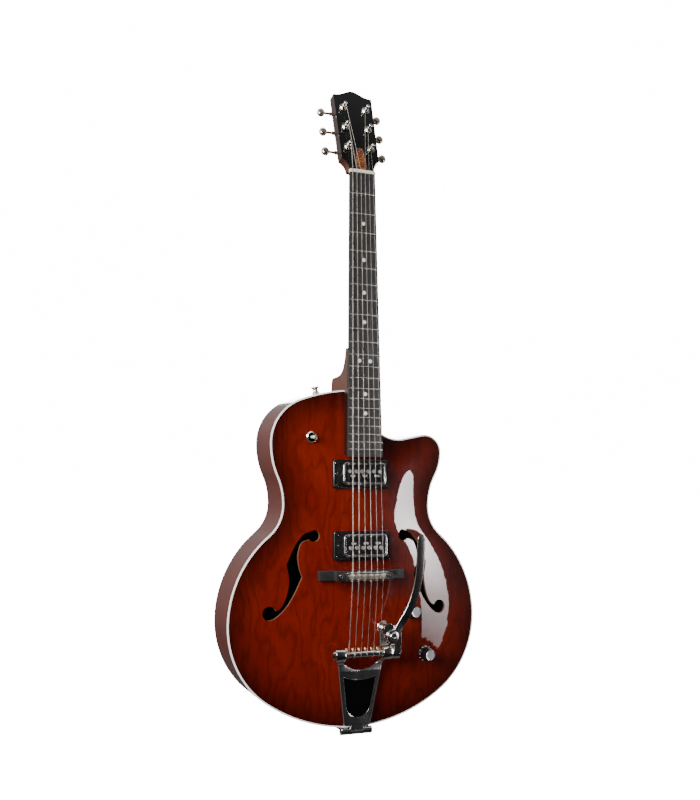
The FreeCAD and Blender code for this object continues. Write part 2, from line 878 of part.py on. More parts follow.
# Tuners
tuner_places = [(-1, row) for row in tuner_rows] + [(1, row) for row in reversed(tuner_rows)]
sleeve_holes = []
tuner_housings = []
tuner_bushings = []
tuner_keys = []
tuner_posts = []
for side, row in tuner_places:
    x = side * post_x
    base = Vector(x, 0, row)
    bore = post_radius + bearing_gap
    sleeve_holes.append(rod(sleeve_radius + seat_gap, Vector(x, -cut_margin, row),
                            Vector(x, head_back + cut_margin, row)))
    bushing = fused(
        rod(sleeve_radius, Vector(x, -washer_height, row), Vector(x, head_back - cut_margin, row)),
        rod(washer_radius, Vector(x, -washer_height, row), Vector(x, -seat_gap, row)),
        Part.Face(Part.makePolygon([
            Vector(x + bushing_nut_radius * math.cos(math.radians(60 * k)), -washer_height,
                   row + bushing_nut_radius * math.sin(math.radians(60 * k))) for k in range(7)
        ])).extrude(Vector(0, -bushing_nut_height, 0)),
    )
    post_line = rod(bore, Vector(x, -post_height, row), Vector(x, head_back + key_depth, row))
    tuner_bushings.append(placed(bushing.cut(post_line), head_frame))

    body = rounded_box(housing_width / 2, housing_length / 2, head_back + seat_gap,
                       head_back + housing_depth, housing_corner)
    back_edges = [e for e in body.Edges if abs(e.CenterOfMass.y - head_back - housing_depth) < 0.01]
    body = body.makeFillet(housing_edge, back_edges).translated(base)
    key_y = head_back + key_depth
    key_z = row + key_offset
    outward = X_AXIS * side
    key_start = Vector(side * (post_x + key_inner), key_y, key_z)
    collar_end = Vector(side * (post_x + housing_width / 2 + key_collar_reach), key_y, key_z)
    body = fused(body, rod(key_collar_radius, key_start, collar_end))
    key_bore = rod(key_radius + bearing_gap, key_start - outward * glue_line, collar_end + outward)
    tuner_housings.append(placed(body.cut([key_bore, post_line]), head_frame))

    stem_end = Vector(side * (button_x - button_half_x / 2), key_y, key_z)
    oval = Part.Ellipse(Vector(0, 0, 0), button_half_z, button_half_x)
    oval.rotate(Placement(Vector(0, 0, 0), Rotation(Z_AXIS, 90)))
    knob = Part.Face(Part.Wire(oval.toShape())).extrude(Vector(0, 0, button_thickness))
    ovals = [e for e in knob.Edges if len(e.Vertexes) == 1]
    knob = knob.makeFillet(button_thickness * 0.42, ovals)
    knob = knob.translated(Vector(0, 0, -button_thickness / 2))
    knob.rotate(Vector(0, 0, 0), X_AXIS, 90)
    key_centre = Vector(side * button_x, key_y, key_z)
    ring_start = collar_end + outward * key_ring_gap
    neck_ring = rod(key_collar_radius, ring_start, ring_start + outward * key_ring_length)
    key = fused(knob.translated(key_centre), rod(key_radius, key_start, stem_end), neck_ring)
    tuner_keys.append(placed(key, head_frame))

    wrap_low = wrap_height - wrap_length / 2
    wrap_high = wrap_height + wrap_length / 2
    post_foot = cut_margin - head_back - key_depth
    post = turned([
        (0, post_foot), (post_radius, post_foot), (post_radius, wrap_low),
        (post_waist_radius, wrap_low + wrap_taper), (post_waist_radius, wrap_high - wrap_taper),
        (post_radius, wrap_high), (post_radius, post_height - post_edge),
        (post_radius - post_edge, post_height), (0, post_height),
    ], base, FRONT)
    eye = rod(post_eye_radius, Vector(x - post_radius, -wrap_high, row),
              Vector(x + post_radius, -wrap_high, row))
    tuner_posts.append(placed(post.cut(eye), head_frame))

neck = placed(fused(shaft, tongue), neck_frame)
head_cuts = [placed(s, head_frame) for s in sleeve_holes + cover_holes + [pocket]]
neck_cuts = [placed(channel, neck_frame), body_slab(-glue_line, -rim_depth, seat_gap)]
head_core = placed(head_core, head_frame)
neck = fused(on_top(neck), heel, head_core).cut(head_cuts + neck_cuts)
veneer = placed(veneer, head_frame).cut(head_cuts)
cover = placed(cover.cut(cover_holes), head_frame)

# Fingerboard, frets, markers and nut
board = slab_y(board_outline(0, -board_length), -cut_margin, fretboard_thickness)
curve_body = Part.makeCylinder(fretboard_radius, board_length + 2 * cut_margin,
                               Vector(0, fretboard_radius, -board_length - cut_margin))
board = board.common(curve_body)


def between_frets(n):
    return (fret_place(n) + fret_place(n - 1)) / 2


dot_places = [(0, between_frets(n)) for n in single_dots]
dot_places += [(side * double_dot_x, between_frets(double_dot)) for side in (-1, 1)]
dot_rods = [rod(dot_radius, Vector(x, -cut_margin, z), Vector(x, dot_depth, z)) for x, z in dot_places]
dots = [dot.common(board) for dot in dot_rods]
fretboard = board.cut(dot_rods)
frets = []
for n in range(1, fret_count + 1):
    z = fret_place(n)
    low = -seat_gap / 2
    bead = Part.Arc(Vector(0, low, z - fret_width / 2), Vector(0, low - fret_crown, z),
                    Vector(0, low, z + fret_width / 2)).toShape()
    foot = Part.makeLine(Vector(0, low, z + fret_width / 2), Vector(0, low, z - fret_width / 2))
    sweep = 2 * math.degrees(math.asin(board_half(z) / fretboard_radius))
    fret = Part.Face(Part.Wire([bead, foot])).revolve(Vector(0, fretboard_radius, 0), Z_AXIS, sweep)
    fret.rotate(Vector(0, fretboard_radius, 0), Z_AXIS, -sweep / 2)
    frets.append(placed(fret, neck_frame))

nut_rise = string_lift_nut + nut_lip
nut_blank = Part.makeBox(nut_width, fretboard_thickness + nut_rise, nut_length,
                         Vector(-nut_width / 2, -nut_rise, 0))
nut_dome = Part.makeCylinder(fretboard_radius, nut_length, Vector(0, fretboard_radius - nut_rise, 0))
nut = placed(nut_blank.common(nut_dome), neck_frame)

# Strings from the posts over nut and saddles to the vibrato shaft
shaft_z = bridge_z * shaft_share
shaft_centre = at(0, shaft_height, shaft_z)
string_count = len(string_radii)


def spread(width, i):
    return width * (i / (string_count - 1) - 0.5)


def saddle_top(i):
    return saddle_height - crown_drop(spread(bridge_spread, i))


strings = []
string_paths = []
for i, radius in enumerate(string_radii):
    side, row = tuner_places[i]
    reach = post_x - post_waist_radius - radius - string_gap
    post_point = head_frame.multVec(Vector(side * reach, -wrap_height, row))
    nut_x = spread(nut_spread, i)
    nut_y = crown_drop(nut_x) - string_lift_nut - radius
    nut_point = neck_frame.multVec(Vector(nut_x, nut_y, nut_length / 2))
    x = spread(bridge_spread, i)
    saddle_point = at(x, saddle_top(i) + string_gap + radius, saddle_z)
    wrap_radius = shaft_radius + string_gap + radius
    rise = saddle_point - Vector(x, shaft_centre.y, shaft_centre.z)
    turn = math.atan2(rise.z, -rise.y) - math.acos(wrap_radius / rise.Length)
    leave = Vector(x, shaft_centre.y - wrap_radius * math.cos(turn),
                   shaft_z + wrap_radius * math.sin(turn))
    sweep = math.degrees(turn) + 360 - pin_angle - wrap_end_angle
    bend = Rotation(X_AXIS, sweep / 2)
    hub_x = Vector(x, shaft_centre.y, shaft_z)
    half_way = bend.multVec(leave - hub_x)
    coil = Part.Arc(leave, hub_x + half_way, hub_x + bend.multVec(half_way)).toShape()
    runs = Part.makePolygon([post_point, nut_point, saddle_point, leave]).Edges
    section = Part.Wire(Part.makeCircle(radius, post_point, nut_point - post_point))
    strings.append(Part.Wire(runs + [coil]).makePipeShell([section], True, False, 1))
    string_paths.append((radius, post_point, nut_point, saddle_point))
slots = []
for radius, post_point, nut_point, saddle_point in string_paths:
    slots.append(rod(radius + string_gap, post_point, nut_point))
    slots.append(rod(radius + string_gap, nut_point, saddle_point))
    slots.append(Part.makeSphere(radius + string_gap, nut_point))
nut = nut.cut(slots)

# Bridge
base_profile = [
    (-base_half_length, 0), (-base_half_length, wing_top), (-deck_half_length, wing_top),
    (-deck_half_length, deck_top), (deck_half_length, deck_top), (deck_half_length, wing_top),
    (base_half_length, wing_top), (base_half_length, 0),
]
base_corners = [at(x, h, bridge_z - base_width / 2) for x, h in base_profile]
bridge_base = Part.Face(Part.makePolygon(base_corners + base_corners[:1]))
bridge_base = bridge_base.extrude(Vector(0, 0, base_width))
rims = []
for e in bridge_base.Edges:
    centre = e.CenterOfMass
    on_face = abs(abs(centre.z - bridge_z) - base_width / 2) < 0.01
    if on_face and centre.y < front(wing_top - cut_margin):
        rims.append(e)
bridge_base = on_top(bridge_base.makeChamfer(base_edge, rims))
wheel_low = deck_top + wheel_clear
wheel_high = wheel_low + wheel_thickness
ear_low = wheel_high + ear_gap
ear_high = ear_low + ear_thickness
bar_low = wheel_low
bar_high = bar_low + bar_depth
studs = []
wheels = []
stud_holes = []
bar_parts = [block(-bar_half_length, bar_half_length, bar_low, bar_high,
                   bridge_z - bar_width / 2, bridge_z + bar_width / 2)]
long_edges = [e for e in bar_parts[0].Edges
              if abs(e.CenterOfMass.y - front(bar_high)) < 0.01 and abs(e.tangentAt(0).x) > 0.9]
bar_parts[0] = bar_parts[0].makeFillet(bar_edge, long_edges)
for side in (-1, 1):
    x = side * stud_x
    stud_foot = at(x, deck_top - stud_depth, bridge_z)
    stud_tip = at(x, bar_high + saddle_sink, bridge_z)
    studs.append(rod(stud_radius, stud_foot, stud_tip))
    stud_holes.append(rod(stud_radius + bearing_gap, stud_foot, stud_tip + FRONT))
    wheel = rod(wheel_radius, at(x, wheel_low, bridge_z), at(x, wheel_high, bridge_z))
    notch = rod(wheel_notch_radius, at(x + wheel_radius, wheel_low - cut_margin, bridge_z),
                at(x + wheel_radius, wheel_high + cut_margin, bridge_z))
    notches = []
    for k in range(wheel_notches):
        cutter = notch.copy()
        cutter.rotate(at(x, 0, bridge_z), Y_AXIS, 360 * k / wheel_notches)
        notches.append(cutter)
    wheels.append(wheel.cut(notches + [stud_holes[-1]]))
    bar_parts.append(rod(ear_radius, at(x, ear_low, bridge_z), at(x, ear_high, bridge_z)))
    bar_parts.append(block(min(x, 0), max(x, 0), ear_low, ear_high,
                           bridge_z - ear_radius, bridge_z + ear_radius))
trough_half = saddle_length / 2 + trough_gap
trough = block(bar_end - bar_half_length, bar_half_length - bar_end, bar_low + bar_floor,
               bar_high + cut_margin, bridge_z - trough_half, bridge_z + trough_half)
bar_body = fused(*bar_parts)
wheel_rooms = [rod(wheel_radius + wheel_room, at(side * stud_x, bar_low - cut_margin, bridge_z),
                   at(side * stud_x, ear_low, bridge_z)) for side in (-1, 1)]
bridge_bar = bar_body.cut([trough] + stud_holes + wheel_rooms)
bridge_base = bridge_base.cut(stud_holes)
saddles = []
for i, radius in enumerate(string_radii):
    x = spread(bridge_spread, i)
    foot = bar_low + bar_floor + seat_gap
    z0 = bridge_z - saddle_length / 2
    z1 = bridge_z + saddle_length / 2
    shoulder = bar_high - saddle_sink
    roof = [(foot, z0), (foot, z1), (shoulder, z1), (saddle_top(i), saddle_z + saddle_crest),
            (saddle_top(i), saddle_z - saddle_crest), (shoulder, z0)]
    saddles.append(slab_x(roof, x - saddle_width / 2, x + saddle_width / 2))

# Pickups
string_rise = math.degrees(math.atan2(nut_place.y - front(saddle_height), nut_place.z - saddle_z))
pickup_rings = []
pickup_covers = []
pickup_inserts = []
pole_screws = []
neck_pickup = (body_length - neck_pickup_drop, neck_cover_top, 1)
bridge_pickup = (bridge_z + bridge_pickup_gap, bridge_cover_top, -1)
for centre_z, top_h, pole_side in (neck_pickup, bridge_pickup):
    place = Placement(at(0, top_h, centre_z), Rotation(X_AXIS, -string_rise))
    outer = rounded_box(ring_length / 2, ring_width / 2, ring_drop, ring_drop + half_rim, ring_corner)
    lip = [e for e in outer.Edges if abs(e.CenterOfMass.y - ring_drop) < 0.01]
    outer = outer.makeChamfer(ring_edge, lip)
    window_x = cover_length_x / 2 + ring_window_gap
    window_z = cover_length_z / 2 + ring_window_gap
    window = rounded_box(window_x, window_z, 0, rim_depth, cover_corner + ring_window_gap)
    holes = []
    for x in (-ring_screw_x, ring_screw_x):
        for z in (-ring_screw_z, 0, ring_screw_z):
            screw, hole = small_screw(Vector(x, ring_drop, z), FRONT)
            screws.append(placed(screw, place))
            holes.append(placed(hole, place))
    ring = on_top(placed(outer.cut(window), place)).cut(holes)
    pickup_rings.append(ring)
    well = local_box(window_x - well_step, window_z - well_step, 0, half_rim)
    top_plate = top_plate.cut(holes + [placed(well, place)])

    shell = rounded_box(cover_length_x / 2, cover_length_z / 2, 0, cover_depth, cover_corner)
    lip = [e for e in shell.Edges if abs(e.CenterOfMass.y) < 0.01]
    shell = shell.makeFillet(cover_lip, lip)
    room_x = cover_length_x / 2 - cover_wall
    room_z = cover_length_z / 2 - cover_wall
    room_corner = cover_corner - cover_wall
    room = rounded_box(room_x, room_z, cover_face, cover_depth + cut_margin, room_corner)
    gate_x = cover_length_x / 2 - cover_border
    gate_z = cover_length_z / 2 - cover_border
    gate_corner = cover_corner - cover_border
    gate = rounded_box(gate_x, gate_z, -cut_margin, cover_face + cut_margin, gate_corner)
    pickup_covers.append(placed(shell.cut([room, gate]), place))
    gap = 2 * seat_gap
    coil_front = cover_face + gap
    coil_body = rounded_box(room_x - gap, room_z - gap, coil_front, cover_depth, room_corner - gap)
    raised = rounded_box(gate_x - gap, gate_z - gap, insert_recess, coil_front + gap, gate_corner - gap)
    insert = fused(coil_body, raised)
    pole_holes = []
    for k in range(string_count):
        x = (k - (string_count - 1) / 2) * pole_pitch
        z = pole_side * pole_offset
        head = Vector(x, insert_recess - seat_gap, z)
        pole = rod(pole_radius, head, head + FRONT * pole_head)
        slot = Part.makeBox(2 * pole_radius, pole_head, pole_slot,
                            Vector(x - pole_radius, head.y - 1.6 * pole_head, z - pole_slot / 2))
        stem_end = head + Y_AXIS * (cover_depth - pole_foot)
        stem = rod(pole_shank, head, stem_end)
        pole_screws.append(placed(pole.cut(slot).fuse(stem), place))
        pole_holes.append(rod(pole_shank + seat_gap, head + FRONT, stem_end + Y_AXIS * cut_margin))
        stud_x_place = (k // 2 - 1) * 2 * pole_pitch + (k % 2 - 0.5) * stud_pair_gap
        stud_foot = Vector(stud_x_place, insert_recess - seat_gap, -z)
        stud = rod(stud_pair_radius, stud_foot, stud_foot + FRONT * stud_pair_height)
        pole_screws.append(placed(stud, place))
    pickup_inserts.append(placed(insert.cut(pole_holes), place))

# Potentiometers and knobs
def knob_and_pot(x, z):
    """Knob with its shaft, the potentiometer under the top and the hole through the top."""
    rims = [top_height(x + knob_radius * math.cos(a), z + knob_radius * math.sin(a))
            for a in (k * math.pi / 8 for k in range(16))]
    base_h = max(rims) + knob_lift
    under_h = min(rims) - plate_thickness - pot_gap
    recess = knob_cap_radius - knob_wall
    knob = turned([
        (0, knob_recess), (recess, knob_recess), (recess, 0), (knob_radius - knob_edge, 0),
        (knob_radius, knob_edge), (knob_radius, knob_skirt),
        (knob_cap_radius + knob_shoulder, knob_skirt + knob_slope),
        (knob_cap_radius, knob_height - knob_shoulder),
        (knob_cap_radius - knob_shoulder, knob_height), (0, knob_height),
    ], at(x, base_h, z), FRONT)
    shaft_foot = at(x, under_h - pot_depth + pot_bushing_rise, z)
    shaft_top = at(x, base_h + knob_socket, z)
    knob = fused(knob, rod(pot_shaft_radius, shaft_foot, shaft_top))
    pot = fused(
        rod(pot_radius, at(x, under_h - pot_depth, z), at(x, under_h, z)),
        rod(pot_bushing_radius, at(x, under_h - cut_margin, z), at(x, base_h + pot_bushing_rise, z)),
    )
    pot = pot.cut(rod(pot_shaft_radius + bearing_gap, shaft_foot - FRONT * pot_gap, shaft_top))
    hole = rod(pot_bushing_radius + seat_gap, at(x, under_h - cut_margin, z), shaft_top)
    return knob, pot, hole


volume_knob, volume_pot, volume_hole = knob_and_pot(volume_x, bridge_z * volume_share)
tone_knob, tone_pot, tone_hole = knob_and_pot(tone_x, bridge_z * tone_share)

# Pickup selector
sx = toggle_x
sz = body_length - toggle_drop
seat_h = top_height(sx, sz)
pivot_h = seat_h - toggle_sink
pivot = at(sx, pivot_h, sz)
switch_low = seat_h - plate_thickness - switch_gap
bushing_low = at(sx, switch_low - cut_margin, sz)
bushing_top = at(sx, seat_h + toggle_bushing_rise, sz)
socket_radius = toggle_root_radius + toggle_socket_gap
socket_rise = toggle_bushing_rise + toggle_sink + seat_gap
pin_half = X_AXIS * (socket_radius + toggle_root_radius)
toggle_switch = fused(
    block(sx - switch_half_x, sx + switch_half_x, switch_low - switch_depth, switch_low,
          sz - switch_half_z, sz + switch_half_z),
    rod(toggle_bushing_radius, bushing_low, bushing_top),
).cut([
    Part.makeSphere(socket_radius, pivot),
    Part.makeCone(socket_radius, socket_radius + socket_rise / 2, socket_rise, pivot, FRONT),
])
toggle_switch = fused(toggle_switch, rod(toggle_pin_radius, pivot - pin_half, pivot + pin_half))
seat = at(sx, seat_h, sz)
toggle_nut = turned([
    (0, -toggle_nut_skirt), (toggle_nut_radius, -toggle_nut_skirt),
    (toggle_nut_radius, toggle_nut_height - toggle_nut_edge),
    (toggle_nut_radius - toggle_nut_edge, toggle_nut_height), (0, toggle_nut_height),
], seat, FRONT)
mouth = Part.makeCone(toggle_mouth_low, toggle_mouth_high, toggle_nut_height, seat, FRONT)
thread = rod(toggle_bushing_radius + seat_gap, bushing_low, bushing_top + FRONT * seat_gap)
toggle_nut = on_top(toggle_nut).cut([mouth, thread])
stalk = toggle_length - toggle_tip_radius
toggle_lever = fused(
    Part.makeSphere(toggle_root_radius, pivot),
    Part.makeCone(toggle_root_radius, toggle_tip_radius, stalk, pivot, FRONT),
    Part.makeSphere(toggle_tip_radius, pivot + FRONT * stalk),
).cut(rod(toggle_pin_radius + bearing_gap, pivot - pin_half, pivot + pin_half))
toggle_hole = rod(toggle_bushing_radius + seat_gap, bushing_low, seat + FRONT * toggle_nut_height)
top_plate = top_plate.cut([volume_hole, tone_hole, toggle_hole])

# Output jack in the rim
jack_lean = math.radians(jack_angle)
jack_out = Vector(math.cos(jack_lean), 0, -math.sin(jack_lean))
jack_seat = low_centre + jack_out * (low_radius + seat_gap)
jack_face = jack_seat + jack_out * jack_plate_thickness
jack_end = jack_seat - jack_out * jack_sleeve_length
output_jack = fused(
    rod(jack_plate_radius, jack_seat, jack_face), rod(jack_sleeve_radius, jack_end, jack_face)
)
output_jack = output_jack.cut(rod(plug_radius + plug_gap, jack_end + jack_out, jack_face + jack_out))
jack_hole = rod(jack_sleeve_radius + seat_gap, jack_end, jack_face)
treble_side = treble_side.cut(jack_hole)
linings = linings.cut(rod(jack_plate_radius, jack_end, jack_face))


# Strap buttons
def strap_button(seat, outward):
    button = turned([
        (0, seat_gap), (button_foot_radius, seat_gap), (button_foot_radius, button_foot_edge),
        (button_neck_radius + button_foot_edge, button_waist - 2 * button_foot_edge),
        (button_neck_radius, button_waist), (button_neck_radius, button_waist + button_head_edge),
        (button_neck_radius + button_foot_edge, button_waist + 2 * button_head_edge),
        (button_head_radius, button_height - 2 * button_foot_edge),
        (button_head_radius, button_height - button_foot_edge),
        (button_head_radius - button_head_edge, button_height), (0, button_height),
    ], seat, outward)
    shank_end = seat - outward * (side_thickness - seat_gap)
    hole_end = seat - outward * (side_thickness + seat_gap)
    hole = rod(button_shank_radius + seat_gap, hole_end, seat + outward)
    return fused(button, rod(button_shank_radius, shank_end, seat + outward)), hole


tail_button, tail_hole = strap_button(Vector(0, 0, 0), -Z_AXIS)
shoulder_z = shoulder_centre.z + math.sqrt(shoulder_radius ** 2 - shoulder_button_x ** 2)
shoulder_seat = Vector(-shoulder_button_x, 0, shoulder_z)
shoulder_out = (shoulder_seat - shoulder_centre).normalize()
shoulder_button, shoulder_hole = strap_button(shoulder_seat, shoulder_out)
bass_side = bass_side.cut([tail_hole, shoulder_hole])
treble_side = treble_side.cut(tail_hole)

# Vibrato frame: plate, bearing housings, spring seat and hinge barrel
hinge_centre = at(0, hinge_height, hinge_z)
frame_corner_z = shaft_z - frame_setback
half_frame = [
    (frame_mouth_half, frame_corner_z), (frame_top_half, frame_corner_z), (frame_bottom_half, frame_foot),
    (barrel_half, hinge_radius), (barrel_half, hinge_z),
]
frame_points = above(0, half_frame + [(-x, z) for x, z in reversed(half_frame)])
mouth_low = Vector(0, 0, frame_corner_z - frame_dip)
mouth_arc = Part.Arc(frame_points[-1], mouth_low, frame_points[0]).toShape()
frame_shape = closed(Part.makePolygon(frame_points).Edges + [mouth_arc])
frame_line = [
    (hinge_z, hinge_height + hinge_radius - barrel_sink),
    (frame_corner_z * frame_low_share, frame_low_height),
    (frame_corner_z * frame_middle_share, frame_middle_height),
    (frame_corner_z + frame_lap, frame_top_height),
]


def frame_band(offset, thickness):
    """Band across the frame that follows its slightly curved side view."""
    upper = [at(-housing_x_outer, h + offset, z) for z, h in frame_line]
    lower = [at(-housing_x_outer, h + offset - thickness, z) for z, h in frame_line]
    ends = [Part.makeLine(upper[0], lower[0]), Part.makeLine(upper[-1], lower[-1])]
    side_view = Part.Face(closed([spline(upper), spline(lower)] + ends))
    return side_view.extrude(X_AXIS * (2 * housing_x_outer))


frame_plate = slab_y(frame_shape, front(deep), front(0)).common(frame_band(0, frame_thickness))
panel_top = frame_corner_z - panel_top_drop
panel_points = above(0, [
    (-panel_top_half, panel_top), (0, panel_top - panel_dip), (panel_top_half, panel_top),
    (panel_bottom_half, panel_bottom), (0, panel_foot), (-panel_bottom_half, panel_bottom),
])
panel_shape = closed([
    Part.Arc(*panel_points[:3]).toShape(),
    Part.makeLine(panel_points[2], panel_points[3]),
    Part.Arc(*panel_points[3:]).toShape(),
    Part.makeLine(panel_points[5], panel_points[0]),
])
panel_room = frame_band(cut_margin, cut_margin + panel_depth)
panel = slab_y(panel_shape, front(deep), front(0)).common(panel_room)
bearing_radius = shaft_radius + bearing_gap + bearing_wall
frame_parts = []
for side in (-1, 1):
    x0 = min(side * housing_x_inner, side * housing_x_outer)
    x1 = max(side * housing_x_inner, side * housing_x_outer)
    frame_parts.append(rod(housing_radius, at(x0, shaft_height, shaft_z), at(x1, shaft_height, shaft_z)))
    leg_foot = frame_corner_z - leg_drop
    leg_top = shaft_z - housing_radius
    frame_parts.append(slab_x([
        (shaft_height - housing_radius + bearing_wall / 2, shaft_z),
        (shaft_height + bearing_wall, leg_top + bearing_wall),
        (shaft_height - frame_lap, leg_top - frame_lap),
        (frame_top_height - frame_thickness / 2, leg_foot),
        (frame_top_height - frame_thickness - cut_margin, leg_foot),
        (frame_top_height - frame_lap, shaft_z - frame_thickness),
    ], side * frame_mouth_half, side * housing_x_outer))
spring_z = shaft_z + spring_reach
seat_base = spring_seat_height - spring_seat_thickness
seat_x0 = housing_x_inner + cut_margin
seat_x1 = housing_x_outer - cut_margin
seat_foot = at(spring_x, seat_base, spring_z)
frame_parts.append(rod(spring_seat_radius, seat_foot, at(spring_x, spring_seat_height, spring_z)))
frame_parts.append(block(seat_x0, seat_x1, seat_base, spring_seat_height + spring_seat_thickness,
                         shaft_z - frame_lap, shaft_z + housing_radius + cut_margin))
frame_parts.append(block(seat_x0, seat_x1 - cut_margin, seat_base, spring_seat_height,
                         shaft_z + frame_lap, spring_z))
hinge_half = X_AXIS * barrel_half
frame_parts.append(rod(hinge_radius, hinge_centre - hinge_half, hinge_centre + hinge_half))
ends = X_AXIS * (housing_x_outer + cut_margin)
bearing_line = rod(bearing_radius + seat_gap, shaft_centre - ends, shaft_centre + ends)
spigot_radius = spring_mean_radius - spring_wire / 2 - 2 * spring_gap
spigot_top = at(spring_x, spring_seat_height + spring_seat_thickness, spring_z)
spigot = rod(spigot_radius, at(spring_x, seat_base + cut_margin, spring_z), spigot_top)
knuckle_end = X_AXIS * knuckle_half
pin_start = hinge_centre - knuckle_end
pin_end = hinge_centre + knuckle_end
pin_line = rod(hinge_pin_radius + seat_gap, pin_start - X_AXIS, pin_end + X_AXIS)
tailpiece_frame = on_top(fused(frame_plate.cut(panel), *frame_parts)).cut([bearing_line, pin_line])
tailpiece_frame = fused(tailpiece_frame, spigot)

# Tail hinge
knuckle_start = X_AXIS * (barrel_half + knuckle_gap)
plate_back = -seat_gap - hinge_plate_thickness
plate_slab = block(-knuckle_half, knuckle_half, -hinge_plate_reach, hinge_height - hinge_plate_thickness,
                   plate_back, -seat_gap)
hinge_parts = [
    rod(hinge_radius, pin_start, hinge_centre - knuckle_start),
    rod(hinge_radius, hinge_centre + knuckle_start, pin_end),
]
barrel_room = rod(hinge_radius + 2 * knuckle_gap, hinge_centre - knuckle_start, hinge_centre + knuckle_start)
hinge_bracket = fused(plate_slab.cut(barrel_room), *hinge_parts).cut(pin_line)
hinge_bracket = hinge_bracket.cut(body_slab(-seat_gap, -rim_depth, 0))
hinge_holes = []
hinge_screw_x = knuckle_half - hinge_screw_inset
for x in (-hinge_screw_x, hinge_screw_x):
    for h in (-hinge_screw_drop, hinge_screw_inset - hinge_plate_reach):
        place = Placement(at(x, h, plate_back), Rotation(X_AXIS, 90))
        screw, hole = small_screw(Vector(0, 0, 0), FRONT)
        screws.append(placed(screw, place))
        hinge_holes.append(placed(hole, place))
hinge_bracket = hinge_bracket.cut(hinge_holes)
bass_side = bass_side.cut(hinge_holes)
treble_side = treble_side.cut(hinge_holes)
linings = linings.cut(hinge_holes)
tail_block = tail_block.cut(hinge_holes)
hinge_pin = rod(hinge_pin_radius, pin_start, pin_end)

# Rocking shaft with string pins
shaft_bearings = []
for side in (-1, 1):
    inner = shaft_centre + X_AXIS * side * (housing_x_inner + lever_gap / 2)
    outer = shaft_centre + X_AXIS * side * (housing_x_outer - lever_gap / 2)
    shaft_bearings.append(tube(bearing_radius, shaft_radius + bearing_gap, inner, outer))
bass_end = shaft_centre - X_AXIS * shaft_end_bass
treble_end = shaft_centre + X_AXIS * shaft_end_treble
collar = rod(shaft_collar_radius, shaft_centre - X_AXIS * (housing_x_outer + lever_gap / 2), bass_end)
vibrato_shaft = fused(rod(shaft_radius, bass_end, treble_end), collar)
angle = math.radians(pin_angle)
pin_way = Vector(0, -math.cos(angle), math.sin(angle))
pins = []
ball_ends = []
for i in range(string_count):
    foot = shaft_centre + X_AXIS * spread(bridge_spread, i)
    pins.append(rod(pin_radius, foot, foot + pin_way * pin_reach))
    ball_ends.append(tube(ball_radius, pin_radius + seat_gap,
                          foot + pin_way * ball_inner, foot + pin_way * ball_outer))
vibrato_shaft = fused(vibrato_shaft, *pins)

# Lever on the shaft that carries the arm and presses on the spring
lever_front = lever_back + lever_thickness
hub_start = housing_x_outer + lever_gap
hub = rod(housing_radius - bearing_wall / 4, at(hub_start, shaft_height, shaft_z), treble_end)
lever_low = shaft_z + housing_radius + frame_lap
lever_high = spring_z + lever_end
neck_bar = block(hub_start, shaft_end_treble, lever_back - lever_lap, lever_front,
                 shaft_z, lever_low + lever_lap)
lever = block(spring_x, shaft_end_treble, lever_back, lever_front, lever_low, lever_high)
outer_corner = [e for e in lever.Edges if abs(e.tangentAt(0).y) > 0.9 and e.CenterOfMass.x > hub_start]
outer_corner = [e for e in outer_corner if e.CenterOfMass.z > spring_z]
lever = lever.makeFillet(lever_corner, outer_corner)
pad = rod(lever_pad_radius, at(spring_x, lever_back, spring_z), at(spring_x, lever_front, spring_z))
pivot_z = shaft_z + pivot_reach
pivot_foot = at(pivot_x, lever_back, pivot_z)
boss = rod(arm_eye_radius, pivot_foot, at(pivot_x, lever_front, pivot_z))
arm_bracket = fused(hub, neck_bar, lever, pad, boss)
pivot_line = rod(pivot_radius + bearing_gap, pivot_foot,
                 at(pivot_x, lever_front + 4 * arm_thickness, pivot_z))
shaft_line = rod(shaft_radius + seat_gap, shaft_centre, treble_end + X_AXIS)
arm_bracket = arm_bracket.cut([pivot_line, shaft_line])

# Arm: a curved outline that also rises away from the strings
arm_low = lever_front + arm_gap
arm_high = arm_low + arm_thickness
path = Part.BSplineCurve()
path.interpolate(above(shaft_z, [(pivot_x, pivot_reach)] + arm_course))
stations = 7
left_side = []
right_side = []
for k in range(stations):
    share = k / (stations - 1)
    t = path.FirstParameter + (path.LastParameter - path.FirstParameter) * share
    across = path.tangent(t)[0].cross(Y_AXIS)
    half = arm_half_width + (arm_tip_half_width - arm_half_width) * share
    left_side.append(path.value(t) - across * half)
    right_side.append(path.value(t) + across * half)
tip_point = path.value(path.LastParameter) + path.tangent(path.LastParameter)[0] * arm_tip_half_width
arm_shape = closed([
    spline(left_side), spline(right_side), Part.makeLine(left_side[0], right_side[0]),
    Part.Arc(left_side[-1], tip_point, right_side[-1]).toShape(),
])
arm_line = [(pivot_reach - 2 * arm_eye_radius, 0), (pivot_reach + arm_flat, 0)]
arm_line += [(z, rise) for (x, z), rise in zip(arm_course[1:], arm_rises)]
arm_line[-1] = (arm_course[-1][1] + 2 * arm_tip_half_width, arm_rises[-1])
arm_upper = [at(0, arm_high + rise, shaft_z + z) for z, rise in arm_line]
arm_lower = [at(0, arm_low + rise, shaft_z + z) for z, rise in arm_line]
arm_ends = [Part.makeLine(arm_upper[0], arm_lower[0]), Part.makeLine(arm_upper[-1], arm_lower[-1])]
bend_line = [Part.makePolygon(side[:2]).Edges + [spline(side[1:])] for side in (arm_upper, arm_lower)]
arm_reach = arm_course[-1][0] + 2 * arm_tip_half_width
arm_band = Part.Face(closed(bend_line[0] + bend_line[1] + arm_ends)).extrude(X_AXIS * arm_reach)
arm_blade = slab_y(arm_shape, front(deep), front(0)).common(arm_band)
arm_eye = rod(arm_eye_radius, at(pivot_x, arm_low, pivot_z), at(pivot_x, arm_high, pivot_z))
